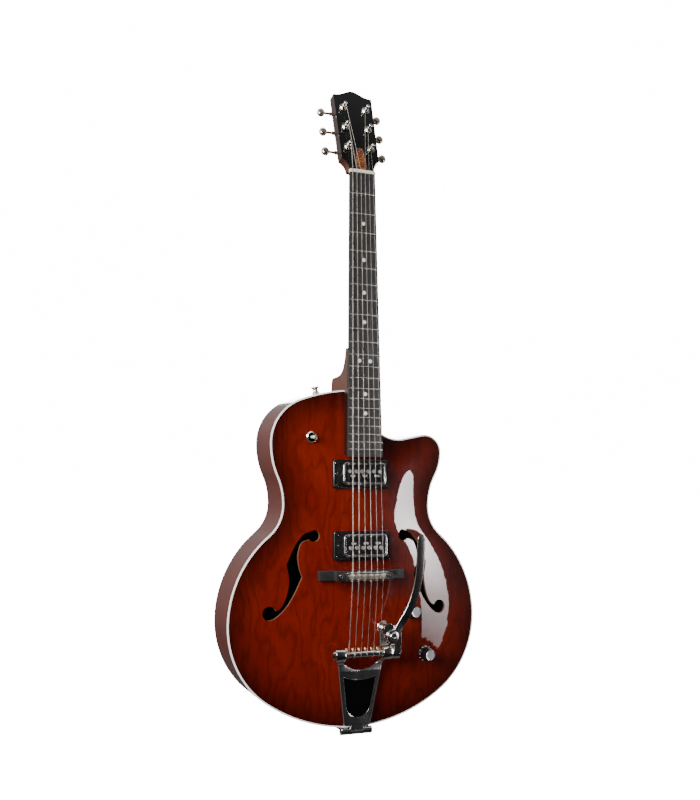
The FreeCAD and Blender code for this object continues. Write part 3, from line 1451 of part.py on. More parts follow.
vibrato_arm = fused(arm_blade, arm_eye).cut(pivot_line)
pivot_seat = arm_high + arm_gap
pivot_bolt = fused(
    rod(pivot_radius, pivot_foot + FRONT * arm_gap, at(pivot_x, pivot_seat + cut_margin, pivot_z)),
    turned([
        (0, 0), (pivot_head_radius, 0), (pivot_head_radius, pivot_head_height - pivot_head_edge),
        (pivot_head_radius - pivot_head_edge, pivot_head_height), (0, pivot_head_height),
    ], at(pivot_x, pivot_seat, pivot_z), FRONT),
)
hexagon = [Rotation(Y_AXIS, 60 * k).multVec(X_AXIS * pivot_socket_radius) for k in range(7)]
socket_floor = at(pivot_x, pivot_seat + pivot_socket_floor, pivot_z)
socket_face = Part.Face(Part.makePolygon([socket_floor + corner for corner in hexagon]))
pivot_bolt = pivot_bolt.cut(socket_face.extrude(FRONT * pivot_head_height))


# Spring wound on arcs that meet smoothly
def arc_from(start, way, end):
    chord = end - start
    across = chord - way * chord.dot(way)
    radius = chord.dot(chord) / (2 * across.Length)
    centre = start + across.normalize() * radius
    return arc_about(centre, start, end)


def biarc(p0, t0, p1, t1):
    """Two arcs that leave p0 along t0 and reach p1 along t1."""
    v = p1 - p0
    t = t0 + t1
    a = 2 * (1 - t0.dot(t1))
    d = (math.sqrt(v.dot(t) ** 2 + a * v.dot(v)) - v.dot(t)) / a
    joint = (p0 + t0 * d + p1 - t1 * d) * 0.5
    return [arc_from(p0, t0, joint), arc_from(p1, -t1, joint)]


coil_start = spring_seat_height + spring_gap + spring_wire / 2
coil_end = lever_back - spring_gap - spring_wire / 2
coil_pitch = (coil_end - coil_start) / spring_turns


def coil_point(turn):
    a = 2 * math.pi * turn
    return at(spring_x + spring_mean_radius * math.cos(a), coil_start + coil_pitch * turn,
              spring_z + spring_mean_radius * math.sin(a))


def coil_way(turn):
    a = 2 * math.pi * turn
    speed = 2 * math.pi * spring_mean_radius
    return Vector(-speed * math.sin(a), -coil_pitch, speed * math.cos(a)).normalize()


coil_edges = []
for k in range(4 * spring_turns):
    here = k / 4
    there = (k + 1) / 4
    coil_edges += biarc(coil_point(here), coil_way(here), coil_point(there), coil_way(there))
coil_wire = Part.Wire(Part.__sortEdges__(coil_edges))
wire_section = Part.Wire(Part.makeCircle(spring_wire / 2, coil_point(0), coil_way(0)))
vibrato_spring = coil_wire.makePipeShell([wire_section], True, False)
coil_samples = [coil_point(k / 40) for k in range(40 * spring_turns + 1)]
coil_gaps = []
for i, p in enumerate(coil_samples):
    for q in coil_samples[i + 20:]:
        coil_gaps.append((p - q).Length - spring_wire)
print("least gap between coils of the spring", round(min(coil_gaps), 3))

export("top_plate", top_plate)
export("back_plate", back_plate)
export("bass_side", bass_side)
export("treble_side", treble_side)
export("top_binding", top_binding)
export("linings", linings)
export("end_blocks", neck_block, tail_block)
export("tone_bars", *tone_bars)
export("neck", neck)
export("headstock_veneer", veneer)
export("fretboard", placed(fretboard, neck_frame))
export("frets", *frets)
export("fret_markers", *[placed(dot, neck_frame) for dot in dots])
export("nut", nut)
export("truss_rod", placed(truss_rod, neck_frame))
export("truss_rod_cover", cover)
export("small_screws", *screws)
export("tuner_housings", *tuner_housings)
export("tuner_bushings", *tuner_bushings)
for i in range(string_count):
    export("tuner_key_" + str(i + 1), tuner_keys[i])
    export("tuner_post_" + str(i + 1), tuner_posts[i])
export("strings", *strings)
export("bridge_base", bridge_base)
export("bridge_studs", *studs)
export("thumbwheel_bass", wheels[0])
export("thumbwheel_treble", wheels[1])
export("bridge_bar", bridge_bar)
export("saddles", *saddles)
export("pickup_rings", *pickup_rings)
export("pickup_covers", *pickup_covers)
export("pickup_inserts", *pickup_inserts)
export("pole_screws", *pole_screws)
export("potentiometers", volume_pot, tone_pot)
export("volume_knob", volume_knob)
export("tone_knob", tone_knob)
export("toggle_switch", toggle_switch)
export("toggle_nut", toggle_nut)
export("toggle_lever", toggle_lever)
export("output_jack", output_jack)
export("strap_buttons", tail_button, shoulder_button)
export("tailpiece_frame", tailpiece_frame)
export("hinge_bracket", hinge_bracket)
export("hinge_pin", hinge_pin)
export("shaft_bearings", *shaft_bearings)
export("vibrato_shaft", vibrato_shaft)
export("ball_ends", *ball_ends)
export("arm_bracket", arm_bracket)
export("vibrato_spring", vibrato_spring)
export("vibrato_arm", vibrato_arm)
export("arm_pivot_bolt", pivot_bolt)
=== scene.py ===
import cmath
import json
import math

import bmesh
import bpy
import numpy as np
from mathutils import Matrix, Vector
from mathutils.geometry import delaunay_2d_cdt

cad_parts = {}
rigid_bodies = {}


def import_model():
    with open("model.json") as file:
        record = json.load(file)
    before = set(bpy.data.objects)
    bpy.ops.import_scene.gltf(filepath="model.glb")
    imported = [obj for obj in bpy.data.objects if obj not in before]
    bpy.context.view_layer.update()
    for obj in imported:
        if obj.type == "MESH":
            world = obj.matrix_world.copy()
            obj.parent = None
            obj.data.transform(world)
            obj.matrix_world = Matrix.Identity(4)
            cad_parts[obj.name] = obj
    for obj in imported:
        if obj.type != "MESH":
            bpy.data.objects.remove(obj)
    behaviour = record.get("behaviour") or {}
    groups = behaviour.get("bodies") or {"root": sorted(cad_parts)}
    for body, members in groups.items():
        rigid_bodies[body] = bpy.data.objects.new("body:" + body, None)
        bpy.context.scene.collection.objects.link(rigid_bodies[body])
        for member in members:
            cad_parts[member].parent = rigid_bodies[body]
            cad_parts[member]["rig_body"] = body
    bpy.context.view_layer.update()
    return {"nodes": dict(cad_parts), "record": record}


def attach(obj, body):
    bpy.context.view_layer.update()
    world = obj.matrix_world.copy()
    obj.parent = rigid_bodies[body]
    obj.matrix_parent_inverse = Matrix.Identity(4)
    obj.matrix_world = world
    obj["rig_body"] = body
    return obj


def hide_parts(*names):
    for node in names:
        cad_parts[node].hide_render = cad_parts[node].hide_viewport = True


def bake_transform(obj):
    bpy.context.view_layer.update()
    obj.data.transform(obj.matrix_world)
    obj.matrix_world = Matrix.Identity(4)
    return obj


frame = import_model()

record = frame["record"]
nodes = frame["nodes"]
body_of = {n: b for b, group in record["behaviour"]["bodies"].items() for n in group}
slot_of = {s["node"]: s["material_slot"] for s in record["subparts"]}
MM = 0.001

# Clean-up of the CAD meshes: weld distance in metres, angles that count as flat and as an edge
WELD, FLAT_ANGLE, EDGE_ANGLE = 2e-6, math.radians(0.4), math.radians(30)


# Shader helpers
class Shader:
    """A principled material whose inputs are fed by procedural textures in the row frame."""

    def __init__(self, name, **values):
        self.material = bpy.data.materials.new(name)
        self.material.use_nodes = True
        self.tree = self.material.node_tree
        self.main = self.tree.nodes["Principled BSDF"]
        self.coords = self.tree.nodes.new("ShaderNodeTexCoord").outputs["Object"]
        self.set(self.main, values)

    def set(self, node, values):
        for key, value in values.items():
            socket = node.inputs[key]
            if isinstance(value, bpy.types.NodeSocket):
                self.tree.links.new(value, socket)
            elif isinstance(value, tuple) and len(value) == 3 and socket.type == "RGBA":
                socket.default_value = (*value, 1)
            else:
                socket.default_value = value

    def node(self, kind, output, settings=None, **values):
        node = self.tree.nodes.new("ShaderNode" + kind)
        for key, value in (settings or {}).items():
            setattr(node, key, value)
        self.set(node, values)
        return node.outputs[output]

    def stretched(self, x, y, z):
        return self.node("Mapping", "Vector", Vector=self.coords, Scale=(x, y, z))

    def noise(self, scale, detail=4.0, roughness=0.55, stretch=(1, 1, 1), distortion=0.0):
        place = self.stretched(*stretch)
        return self.node("TexNoise", "Fac", Vector=place, Scale=scale, Detail=detail,
                         Roughness=roughness, Distortion=distortion)

    def ramp(self, factor, stops):
        node = self.tree.nodes.new("ShaderNodeValToRGB")
        elements = node.color_ramp.elements
        while len(elements) < len(stops):
            elements.new(0.5)
        for element, (place, color) in zip(elements, stops):
            element.position = place
            element.color = (*color, 1) if isinstance(color, tuple) else (color, color, color, 1)
        self.tree.links.new(factor, node.inputs["Fac"])
        return node.outputs["Color"]

    def mix(self, factor, a, b, blend="MIX"):
        node = self.tree.nodes.new("ShaderNodeMix")
        node.data_type = "RGBA"
        node.blend_type = blend
        for key, value in (("Factor_Float", factor), ("A_Color", a), ("B_Color", b)):
            socket = next(s for s in node.inputs if s.identifier == key)
            if isinstance(value, bpy.types.NodeSocket):
                self.tree.links.new(value, socket)
            else:
                socket.default_value = (*value, 1) if isinstance(value, tuple) else value
        return next(s for s in node.outputs if s.identifier == "Result_Color")

    def spread(self, factor, low, high):
        return self.node("MapRange", "Result", Value=factor, **{"To Min": low, "To Max": high})

    def spread_from(self, factor, low, high):
        return self.node("MapRange", "Result", Value=factor, **{"From Min": low, "From Max": high})

    def bump(self, height, strength, distance):
        normal = self.node("Bump", "Normal", Height=height, Strength=strength, Distance=distance)
        self.set(self.main, {"Normal": normal})
        return self

    def feed(self, **values):
        self.set(self.main, {k.replace("_", " "): v for k, v in values.items()})


def metal(name, color, rough, wear=0.12, brush=None):
    """Plated or polished metal with smudges and fine scratches."""
    m = Shader(name, Metallic=1.0)
    cloud = m.noise(55, 6)
    lines = m.noise(900, 3, stretch=brush or (1, 1, 1))
    tint = m.ramp(cloud, [(0.3, tuple(c * 0.86 for c in color)), (0.7, color)])
    smudges = m.spread(cloud, rough * 0.6, rough + wear)
    scratches = m.spread(lines, rough * 0.7, rough + wear * 0.8)
    m.feed(Base_Color=tint, Roughness=m.mix(0.5, smudges, scratches))
    return m.bump(lines, 0.012, 0.0002).material


def plastic(name, color, rough, coat=0.0, speck=0.25, shine=0.5):
    """Plastic, paint or bone with faint clouds and a fine grain, coated or not."""
    m = Shader(name)
    grain = m.noise(420, 5)
    cloud = m.noise(30, 4)
    low = tuple(c * (1 - speck) for c in color)
    m.feed(Base_Color=m.ramp(cloud, [(0.3, low), (0.7, color)]))
    m.feed(Roughness=m.spread(grain, rough * 0.8, rough * 1.3))
    m.feed(Coat_Weight=coat, Coat_Roughness=0.06, Specular_IOR_Level=shine)
    return m.bump(grain, 0.05, 0.0002).material


def lacquered_wood(name, stops, edge_from, grain_share, coat, rough, along=None):
    """Stained wood under lacquer: the stain follows the edge attribute, the grain runs along Z."""
    m = Shader(name)
    fine = m.noise(40, 8, 0.65, (22, 22, 0.9))
    pores = m.noise(150, 4, 0.6, (9, 9, 0.35))
    cloud = m.noise(9, 3, 0.5, (1.6, 1.6, 0.7), 0.6)
    flame = m.node("TexWave", "Fac", {"wave_type": "BANDS", "bands_direction": "X"},
                   Vector=m.stretched(1, 1, 0.16), Scale=26.0, Distortion=7.0, Detail=4.0)
    if edge_from:
        stain = m.node("Attribute", "Fac", {"attribute_name": edge_from})
    else:
        stain = m.spread(cloud, 0.2, 0.8)
    base = m.ramp(stain, stops)
    fibres = m.ramp(fine, [(0.25, 0.62), (0.75, 1.18)])
    shade = m.mix(0.45, fibres, m.ramp(flame, [(0.0, 0.8), (1.0, 1.12)]))
    shade = m.mix(0.35, shade, m.ramp(cloud, [(0.3, 0.75), (0.7, 1.2)]))
    shade = m.mix(0.3, shade, m.ramp(pores, [(0.32, 0.35), (0.48, 1.05)]))
    tone = m.mix(grain_share, base, m.mix(1.0, base, shade, "MULTIPLY"))
    # Optional darkening by height; on the neck it paints shade under the fretboard's raised end
    if along:
        height = m.node("SeparateXYZ", "Z", Vector=m.coords)
        tone = m.mix(1.0, tone, m.ramp(height, along), "MULTIPLY")
    m.feed(Base_Color=tone)
    m.feed(Roughness=m.spread(fine, rough * 0.85, rough * 1.2), Coat_Weight=coat, Coat_Roughness=0.025)
    return m.bump(pores, 0.03, 0.0003).material


# Mesh helpers, in millimetres
def add(name, points, faces, material, body, stands_for, sharp):
    """New smooth-shaded piece that rides on a body and may stand for CAD nodes."""
    mesh = bpy.data.meshes.new(name)
    mesh.from_pydata([Vector(p) * MM for p in points], [], faces)
    bm = bmesh.new()
    bm.from_mesh(mesh)
    bmesh.ops.recalc_face_normals(bm, faces=bm.faces)
    bm.to_mesh(mesh)
    bm.free()
    mesh.polygons.foreach_set("use_smooth", [True] * len(mesh.polygons))
    mesh.set_sharp_from_angle(angle=math.radians(sharp))
    obj = bpy.data.objects.new(name, mesh)
    bpy.context.scene.collection.objects.link(obj)
    mesh.materials.append(material)
    if body:
        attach(obj, body)
    if stands_for:
        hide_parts(*stands_for)
    return obj


def skin_faces(count, ring, start, closed):
    """Quads between successive rings of equal length; an open row of rings is capped at its ends."""
    faces = []
    for i in range(count if closed else count - 1):
        a = start + i * ring
        b = start + (i + 1) % count * ring
        for k in range(ring):
            n = (k + 1) % ring
            faces.append((a + k, a + n, b + n, b + k))
    if not closed:
        faces.append(tuple(start + k for k in range(ring)))
        faces.append(tuple(start + (count - 1) * ring + k for k in range(ring)))
    return faces


class Parts:
    """Collects several skins into one mesh."""

    def __init__(self):
        self.points = []
        self.faces = []

    def skin(self, rings, closed=False):
        start = len(self.points)
        for ring in rings:
            self.points += [Vector(p) for p in ring]
        self.faces += skin_faces(len(rings), len(rings[0]), start, closed)
        return self

    def lathe(self, profile, origin, axis, segments=40, closed=False):
        """Turned form from (radius, distance) pairs along an axis."""
        axis = Vector(axis).normalized()
        side = axis.orthogonal().normalized()
        other = axis.cross(side)
        turns = [2 * math.pi * k / segments for k in range(segments)]
        rings = []
        for r, t in profile:
            r = max(r, 0.001)
            rings.append([Vector(origin) + axis * t + side * (r * math.cos(a)) + other * (r * math.sin(a))
                          for a in turns])
        return self.skin(rings, closed)

    def tube(self, path, radius, segments=10, closed=False):
        """Round wire along a path of points."""
        path = [Vector(p) for p in path]
        turns = [2 * math.pi * k / segments for k in range(segments)]
        rings = []
        side = None
        for i, p in enumerate(path):
            way = (path[min(i + 1, len(path) - 1)] - path[max(i - 1, 0)]).normalized()
            side = (side - way * side.dot(way)).normalized() if side else way.orthogonal().normalized()
            other = way.cross(side)
            rings.append([p + side * (radius * math.cos(a)) + other * (radius * math.sin(a)) for a in turns])
        return self.skin(rings, closed)

    def box(self, low, high):
        x0, y0, z0 = low
        x1, y1, z1 = high
        ring = lambda y: [(x0, y, z0), (x1, y, z0), (x1, y, z1), (x0, y, z1)]
        return self.skin([ring(y0), ring(y1)])

    def make(self, name, material, body, stands_for=(), sharp=35):
        return add(name, self.points, self.faces, material, body, stands_for, sharp)


def refined(node, material, bevel):
    """CAD node as a smooth-shaded copy with softened edges."""
    mesh = nodes[node].data.copy()
    mesh.name = node + "_look"
    bm = bmesh.new()
    bm.from_mesh(mesh)
    bmesh.ops.remove_doubles(bm, verts=bm.verts, dist=WELD)
    bmesh.ops.dissolve_limit(bm, angle_limit=FLAT_ANGLE, verts=bm.verts, edges=bm.edges)
    bm.to_mesh(mesh)
    bm.free()
    mesh.polygons.foreach_set("use_smooth", [True] * len(mesh.polygons))
    mesh.set_sharp_from_angle(angle=EDGE_ANGLE)
    mesh.materials.clear()
    mesh.materials.append(material)
    obj = bpy.data.objects.new(node + "_look", mesh)
    bpy.context.scene.collection.objects.link(obj)
    if bevel:
        soft = obj.modifiers.new("soft_edges", "BEVEL")
        soft.width = bevel * MM
        soft.segments = 2
        soft.limit_method = "ANGLE"
        soft.angle_limit = EDGE_ANGLE
        soft.harden_normals = True
    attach(obj, body_of[node])
    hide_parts(node)
    return obj


# Body outline: tangent arcs in the X-Z plane as complex numbers, in millimetres
LENGTH, HALF_LOW, HALF_WAIST, HALF_UP = 508.0, 202.0, 121.8, 143.3
Z_LOW, Z_WAIST, Z_UP, Z_HORN = 158.0, 329.0, 424.0, 412.7
R_TAIL, R_SHOULDER, R_WAIST_LOW, R_WAIST_UP = 252.0, 278.0, 58.0, 100.0
R_HORN, R_CUT, CUT_X, WALL_X = 28.3, 50.0, 66.6, 25.0
CUT_Z = 482.5
HALF_RIM, PLATE, BINDING = 38.0, 5.0, 2.4
ARC_STEP, GRID_STEP, RING_COUNT, CORNER_STEPS = 1.6, 4.5, 900, 5
HOLE_FROM_EDGE, STAIN_REACH = 15, 120
CROWN_Z, TOP_ARCH, BACK_ARCH = 215.0, 16.0, 14.0
ARCH_POWER, NOTCH_REACH = 1.68, 45.0
HOLLOW_START, HOLLOW_SPAN, HOLLOW_DEPTH = 0.52, 0.38, 0.5


def end_radius(big, rise, half):
    """Radius that joins an end arc to the widest place."""
    return (2 * big * rise - half ** 2 - rise ** 2) / (2 * (big - half))


def flank(height):
    """Centre and radius of the arc between the waist and the upper bout."""
    step = HALF_UP - HALF_WAIST
    r = (height - Z_WAIST) ** 2 / (2 * step) + step / 2 - R_WAIST_UP
    return complex(HALF_UP - r, height), r


def arc(centre, p, q):
    """Points from p up to q, but without q, about a centre."""
    turn = cmath.phase((q - centre) / (p - centre))
    count = max(2, math.ceil(abs(turn) * abs(p - centre) / ARC_STEP))
    return [centre + (p - centre) * cmath.exp(1j * turn * k / count) for k in range(count)]


def towards(centre, radius, other):
    """Point at a radius from a centre, on the way to another point."""
    return centre + (other - centre) / abs(other - centre) * radius


def mirrored(points):
    """The same points on the other side of the centre line."""
    return [-p.conjugate() for p in points]


def half_loop(inset, height):
    """Points of one side from the tail arc up to the widest place of the upper bout."""
    step = HALF_LOW - HALF_WAIST
    tail = 1j * R_TAIL
    r_low = end_radius(R_TAIL, Z_LOW, HALF_LOW)
    low = complex(HALF_LOW - r_low, Z_LOW)
    r_flank = (Z_WAIST - Z_LOW) ** 2 / (2 * step) + step / 2 - R_WAIST_LOW
    low_flank = complex(HALF_LOW - r_flank, Z_LOW)
    waist_low = complex(HALF_WAIST + R_WAIST_LOW, Z_WAIST)
    waist_up = complex(HALF_WAIST + R_WAIST_UP, Z_WAIST)
    up, r_up = flank(height)
    stops = [
        towards(tail, R_TAIL - inset, 2 * low - tail), complex(HALF_LOW - inset, Z_LOW),
        towards(low_flank, r_flank - inset, waist_low), complex(HALF_WAIST - inset, Z_WAIST),
        towards(up, r_up - inset, waist_up), complex(HALF_UP - inset, height),
    ]
    centres = [low, low_flank, waist_low, waist_up, up]
    points = []
    for centre, p, q in zip(centres, stops, stops[1:]):
        points += arc(centre, p, q)
    return points, stops[0], stops[-1]


def body_loop(inset):
    """Closed outline of the body, counted in from its edge."""
    treble, tail_t, wide_t = half_loop(inset, Z_HORN)
    bass, tail_b, wide_b = half_loop(inset, Z_UP)
    horn = complex(HALF_UP - R_HORN, Z_HORN)
    cut = complex(CUT_X, CUT_Z)
    span = cut - horn
    normal = span / abs(span) * cmath.exp(-1j * math.acos((R_HORN + R_CUT) / abs(span)))
    horn_end = horn + normal * (R_HORN - inset)
    cut_start = cut - normal * (R_CUT + inset)
    wall = WALL_X - inset
    cut_end = complex(wall, CUT_Z - math.sqrt((R_CUT + inset) ** 2 - (CUT_X - wall) ** 2))
    shoulder = 1j * (LENGTH - R_SHOULDER)
    wall_top = complex(wall, shoulder.imag + math.sqrt((R_SHOULDER - inset) ** 2 - wall ** 2))
    r_top = end_radius(R_SHOULDER, LENGTH - Z_UP, HALF_UP)
    top = complex(-(HALF_UP - r_top), Z_UP)
    top_end = towards(shoulder, R_SHOULDER - inset, 2 * top - shoulder)
    loop = arc(1j * R_TAIL, -tail_b.conjugate(), tail_t) + treble
    loop += arc(horn, wide_t, horn_end) + [horn_end + (cut_start - horn_end) * k / 8 for k in range(8)]
    loop += arc(cut, cut_start, cut_end) + [cut_end + (wall_top - cut_end) * k / 24 for k in range(24)]
    loop += arc(shoulder, wall_top, top_end) + arc(top, top_end, -wide_b.conjugate())
    loop += [-wide_b.conjugate()] + mirrored(bass[:0:-1])
    return np.array(loop)


OUTLINE = body_loop(0)
bass_edge = OUTLINE[OUTLINE.real <= 0]
bass_edge = bass_edge[np.argsort(bass_edge.imag)]


def swell(t):
    """Rise from 0 at an edge to 1, level where it ends."""
    return (1 - (1 - np.clip(t, 0, 1)) ** 2) ** 1.5


def arch(x, z):
    """Share of the full arch height; the edge is hollowed, as its reflections in the photo show."""
    half = np.interp(z, bass_edge.imag, -bass_edge.real)
    along = np.where(z < CROWN_Z, z / CROWN_Z, (LENGTH - z) / (LENGTH - CROWN_Z))
    notch = np.minimum(np.hypot(x - CUT_X, z - CUT_Z) - R_CUT,
                       np.hypot(np.maximum(WALL_X - x, 0), np.maximum(CUT_Z - z, 0)))
    across = np.abs(x / half)
    ease = np.clip((across - HOLLOW_START) / HOLLOW_SPAN, 0, 1)
    hollow = 1 - HOLLOW_DEPTH * ease ** 2 * (3 - 2 * ease)
    bow = np.clip(1 - across ** 2, 0, 1) ** ARCH_POWER
    return swell(along) * bow * hollow * swell(notch / NOTCH_REACH)


def top_h(x, z):
    """Height of the top above the plane of its edge."""
    return float(TOP_ARCH * arch(np.float64(x), np.float64(z)))


def front(h):
    """Y of a height above that plane."""
    return -HALF_RIM - h


def at(x, h, z):
    """Place from X, height above that plane, and Z."""
    return Vector((x, front(h), z))


def inside(points, loop):
    """Which points lie in a closed loop."""
    x, y = points.real[:, None], points.imag[:, None]
    ax, ay = loop.real, loop.imag
    bx, by = np.roll(ax, -1), np.roll(ay, -1)
    with np.errstate(divide="ignore", invalid="ignore"):
        hit = ((ay > y) != (by > y)) & (x < (bx - ax) * (y - ay) / (by - ay) + ax)
    return hit.sum(1) % 2 == 1


def spline(points, count):
    """Catmull-Rom curve through complex points."""
    p = [2 * points[0] - points[1]] + list(points) + [2 * points[-1] - points[-2]]
    out = []
    for i in range(1, len(p) - 2):
        for k in range(count):
            t = k / count
            out.append(0.5 * (2 * p[i] + (p[i + 1] - p[i - 1]) * t
                              + (2 * p[i - 1] - 5 * p[i] + 4 * p[i + 1] - p[i + 2]) * t * t
                              + (3 * p[i] - p[i - 1] - 3 * p[i + 1] + p[i + 2]) * t ** 3))
    return out


def f_loop():
    """Outline of the treble f-hole."""
    eye_up, eye_low = 74 + 284.5j, 139.6 + 172.3j
    r_up, r_low = 8.9, 10.3
    turn = lambda eye, r, a: eye + r * cmath.exp(1j * math.radians(a))
    start, stop = turn(eye_up, r_up, 100), turn(eye_up, r_up, -38)
    low_in, low_out = turn(eye_low, r_low, 160), turn(eye_low, r_low, -90)
    outer, inner = 115.3 + 242.6j, 91.4 + 223.7j
    loop = spline([start, 88 + 287.3j, 98.4 + 276.5j, 106.5 + 262.7j, outer], 8)
    loop += spline([outer, 111.3 + 221.3j, 112.6 + 206.6j, 116.8 + 191.1j, 123.7 + 179.2j, low_in], 8)
    loop += [turn(eye_low, r_low, a) for a in np.linspace(160, -90, 40)[:-1]]
    loop += spline([low_out, 131.6 + 164.4j, 121.4 + 172.7j, 111.3 + 185j, 102.3 + 200.4j, inner], 8)
    loop += spline([inner, 96.1 + 237.7j, 98.1 + 251.6j, 96.9 + 262.5j, 91.9 + 274.4j, stop], 8)
    loop += [turn(eye_up, r_up, a) for a in np.linspace(-38, -260, 36)[:-1]]
    return np.array(loop)


F_HOLE = f_loop()


def rounded_rect(cx, cz, hx, hz, r):
    """Rectangle of half sizes hx and hz with round corners."""
    loop = []
    for sx, sz, a0 in ((1, 1, 0), (-1, 1, 90), (-1, -1, 180), (1, -1, 270)):
        corner = complex(cx + sx * (hx - r), cz + sz * (hz - r))
        turns = [math.radians(a0 + 90 * k / CORNER_STEPS) for k in range(CORNER_STEPS + 1)]
        loop += [corner + r * cmath.exp(1j * a) for a in turns]
    return np.array(loop)


def plate(name, material, inset, holes, height, sense, stands_for):
    """Carved plate on a fine mesh, with a stain attribute and exact smooth normals on its outside."""
    rim = body_loop(inset)
    across, along = np.arange(-HALF_LOW - 2, HALF_LOW + 3, GRID_STEP), np.arange(0, LENGTH + 2, GRID_STEP)
    gx, gz = np.meshgrid(across, along)
    gx[1::2] += GRID_STEP / 2
    grid = (gx + 1j * gz).ravel()
    grid = grid[inside(grid, rim)]
    edges = np.concatenate([rim] + holes)
    near = np.array([np.abs(edges - g).min() for g in grid])
    grid = grid[near > GRID_STEP * 0.6]
    for hole in holes:
        grid = grid[~inside(grid, hole)]
    flat = np.concatenate([rim] + holes + [grid])
    links = []
    start = 0
    for loop in [rim] + holes:
        links += [(start + k, start + (k + 1) % len(loop)) for k in range(len(loop))]
        start += len(loop)
    out = delaunay_2d_cdt([Vector((p.real, p.imag)) for p in flat], links, [], 1, 1e-4)
    verts = np.array([complex(v.x, v.y) for v in out[0]])
    tris = np.array(out[2])
    centre = verts[tris].mean(1)
    keep = inside(centre, rim)
    for hole in holes:
        keep &= ~inside(centre, hole)
    tris = tris[keep]
    x, z = verts.real, verts.imag
    y = sense * (HALF_RIM + height * arch(x, z))
    back = y - sense * PLATE
    count = len(verts)
    points = list(zip(x, y, z)) + list(zip(x, back, z))
    faces = [tuple(t) for t in tris] + [tuple(t[::-1] + count) for t in tris]
    use = {}
    for t in tris:
        for a, b in ((t[0], t[1]), (t[1], t[2]), (t[2], t[0])):
            use[(a, b)] = 1
    faces += [(b, a, a + count, b + count) for a, b in use if (b, a) not in use]
    mesh = add(name, points, faces, material, "root", stands_for, 40).data
    mesh.materials.append(finish["inner_wood"])
    mesh.materials.append(finish["cut_wood"])
    reach = np.array([np.abs(OUTLINE - v).min() for v in verts])
    for face in mesh.polygons:
        corners = [i % count for i in face.vertices]
        if min(face.vertices) >= count:
            face.material_index = 1
        elif len(corners) == 4 and reach[corners].min() > HOLE_FROM_EDGE:
            face.material_index = 2
    stain = mesh.attributes.new("stain", "FLOAT", "POINT")
    stain.data.foreach_set("value", np.concatenate([reach, reach]).astype(np.float32) / STAIN_REACH)
    step = 0.5
    slope_x = height * (arch(x + step, z) - arch(x - step, z)) / (2 * step)
    slope_z = height * (arch(x, z + step) - arch(x, z - step)) / (2 * step)
    smooth = np.stack([-slope_x, sense * np.ones(count), -slope_z], 1)
    smooth /= np.linalg.norm(smooth, axis=1)[:, None]
    normals = [Vector(n.vector) for n in mesh.corner_normals]
    for face in mesh.polygons:
        if face.normal.y * sense > 0.5 and max(face.vertices) < count:
            for i in face.loop_indices:
                normals[i] = Vector(smooth[mesh.loops[i].vertex_index])
    mesh.normals_split_custom_set(normals)


def ring(name, material, profile, stands_for):
    """Band round the body from closed (inset, y) profile corners."""
    loops = []
    for inset, y in profile:
        row = body_loop(inset)
        row = np.append(row, row[0])
        share = np.concatenate([[0], np.cumsum(np.abs(np.diff(row)))])
        wanted = np.linspace(0, share[-1], RING_COUNT, endpoint=False)
        xs, zs = np.interp(wanted, share, row.real), np.interp(wanted, share, row.imag)
        loops.append([(x, y, z) for x, z in zip(xs, zs)])
    Parts().skin(loops, closed=True).make(name, material, "root", stands_for)


# Finishes
burst = [(0.0, (0.026, 0.0012, 0.0003)), (0.10, (0.048, 0.0021, 0.0003)),
         (0.35, (0.105, 0.0036, 0.0002)), (1.0, (0.140, 0.0050, 0.0002))]
orange = [(0.0, (0.038, 0.0022, 0.0003)), (0.35, (0.150, 0.0080, 0.0003)), (1.0, (0.200, 0.0125, 0.0003))]
rim_stain = [(0.0, (0.045, 0.0045, 0.0018)), (0.5, (0.080, 0.0095, 0.0034)), (1.0, (0.120, 0.017, 0.0055))]
back_stain = [(0.0, (0.030, 0.0030, 0.0012)), (0.3, (0.100, 0.0095, 0.0030)), (1.0, (0.190, 0.0230, 0.0070))]
neck_stain = [(0.0, (0.060, 0.018, 0.0095)), (1.0, (0.115, 0.038, 0.019))]
# Neck darkening by height: nearly black below Z 0.5, painted shade under the raised end of the fretboard;
# darker again from Z 0.86 on the headstock
neck_shade = [(0.500, 0.05), (0.508, 1.0), (0.860, 1.0), (0.885, 0.22)]
cut_stain = [(0.0, (0.10, 0.040, 0.020)), (1.0, (0.20, 0.085, 0.045))]
# Inside faces of the plates: wood darkened nearly to black, painted shade inside the hollow body seen through
# the f-holes
inner_painted_shade = [(0.0, (0.030, 0.016, 0.008)), (1.0, (0.055, 0.030, 0.015))]


def top_finish():
    """Red burst stain over wavy laminated wood, under thick gloss lacquer that is not quite flat."""
    m = Shader("top_wood")
    stain = m.node("Attribute", "Fac", {"attribute_name": "stain"})
    veins = m.node("TexWave", "Fac", {"wave_type": "BANDS", "bands_direction": "X"},
                   Vector=m.stretched(1, 1, 0.34), Scale=11.0, Distortion=26.0, Detail=3.0,
                   **{"Detail Scale": 1.7})
    fibre = m.noise(60, 6, 0.6, (12, 12, 1.2))
    pores = m.noise(1400, 3, 0.6, (1, 1, 0.08))
    cloud = m.noise(9, 4, 0.55, (1, 1, 0.55), 0.9)
    tone = m.mix(m.ramp(cloud, [(0.42, 0.0), (0.68, 0.75)]), m.ramp(stain, burst), m.ramp(stain, orange))
    for shade in (m.ramp(veins, [(0.0, 0.78), (0.30, 0.98), (1.0, 1.06)]),
                  m.ramp(fibre, [(0.3, 0.88), (0.7, 1.10)]),
                  m.ramp(pores, [(0.28, 0.45), (0.42, 1.0)])):
        tone = m.mix(1.0, tone, shade, "MULTIPLY")
    ripple = m.node("Bump", "Normal", Height=m.noise(55, 2.5, 0.55), Strength=0.6, Distance=0.00012)
    m.feed(Base_Color=tone, Roughness=m.spread(fibre, 0.30, 0.42), Specular_IOR_Level=0.05,
           Coat_Weight=1.0, Coat_Roughness=0.02, Coat_Normal=ripple)
    return m.bump(pores, 0.02, 0.0002).material


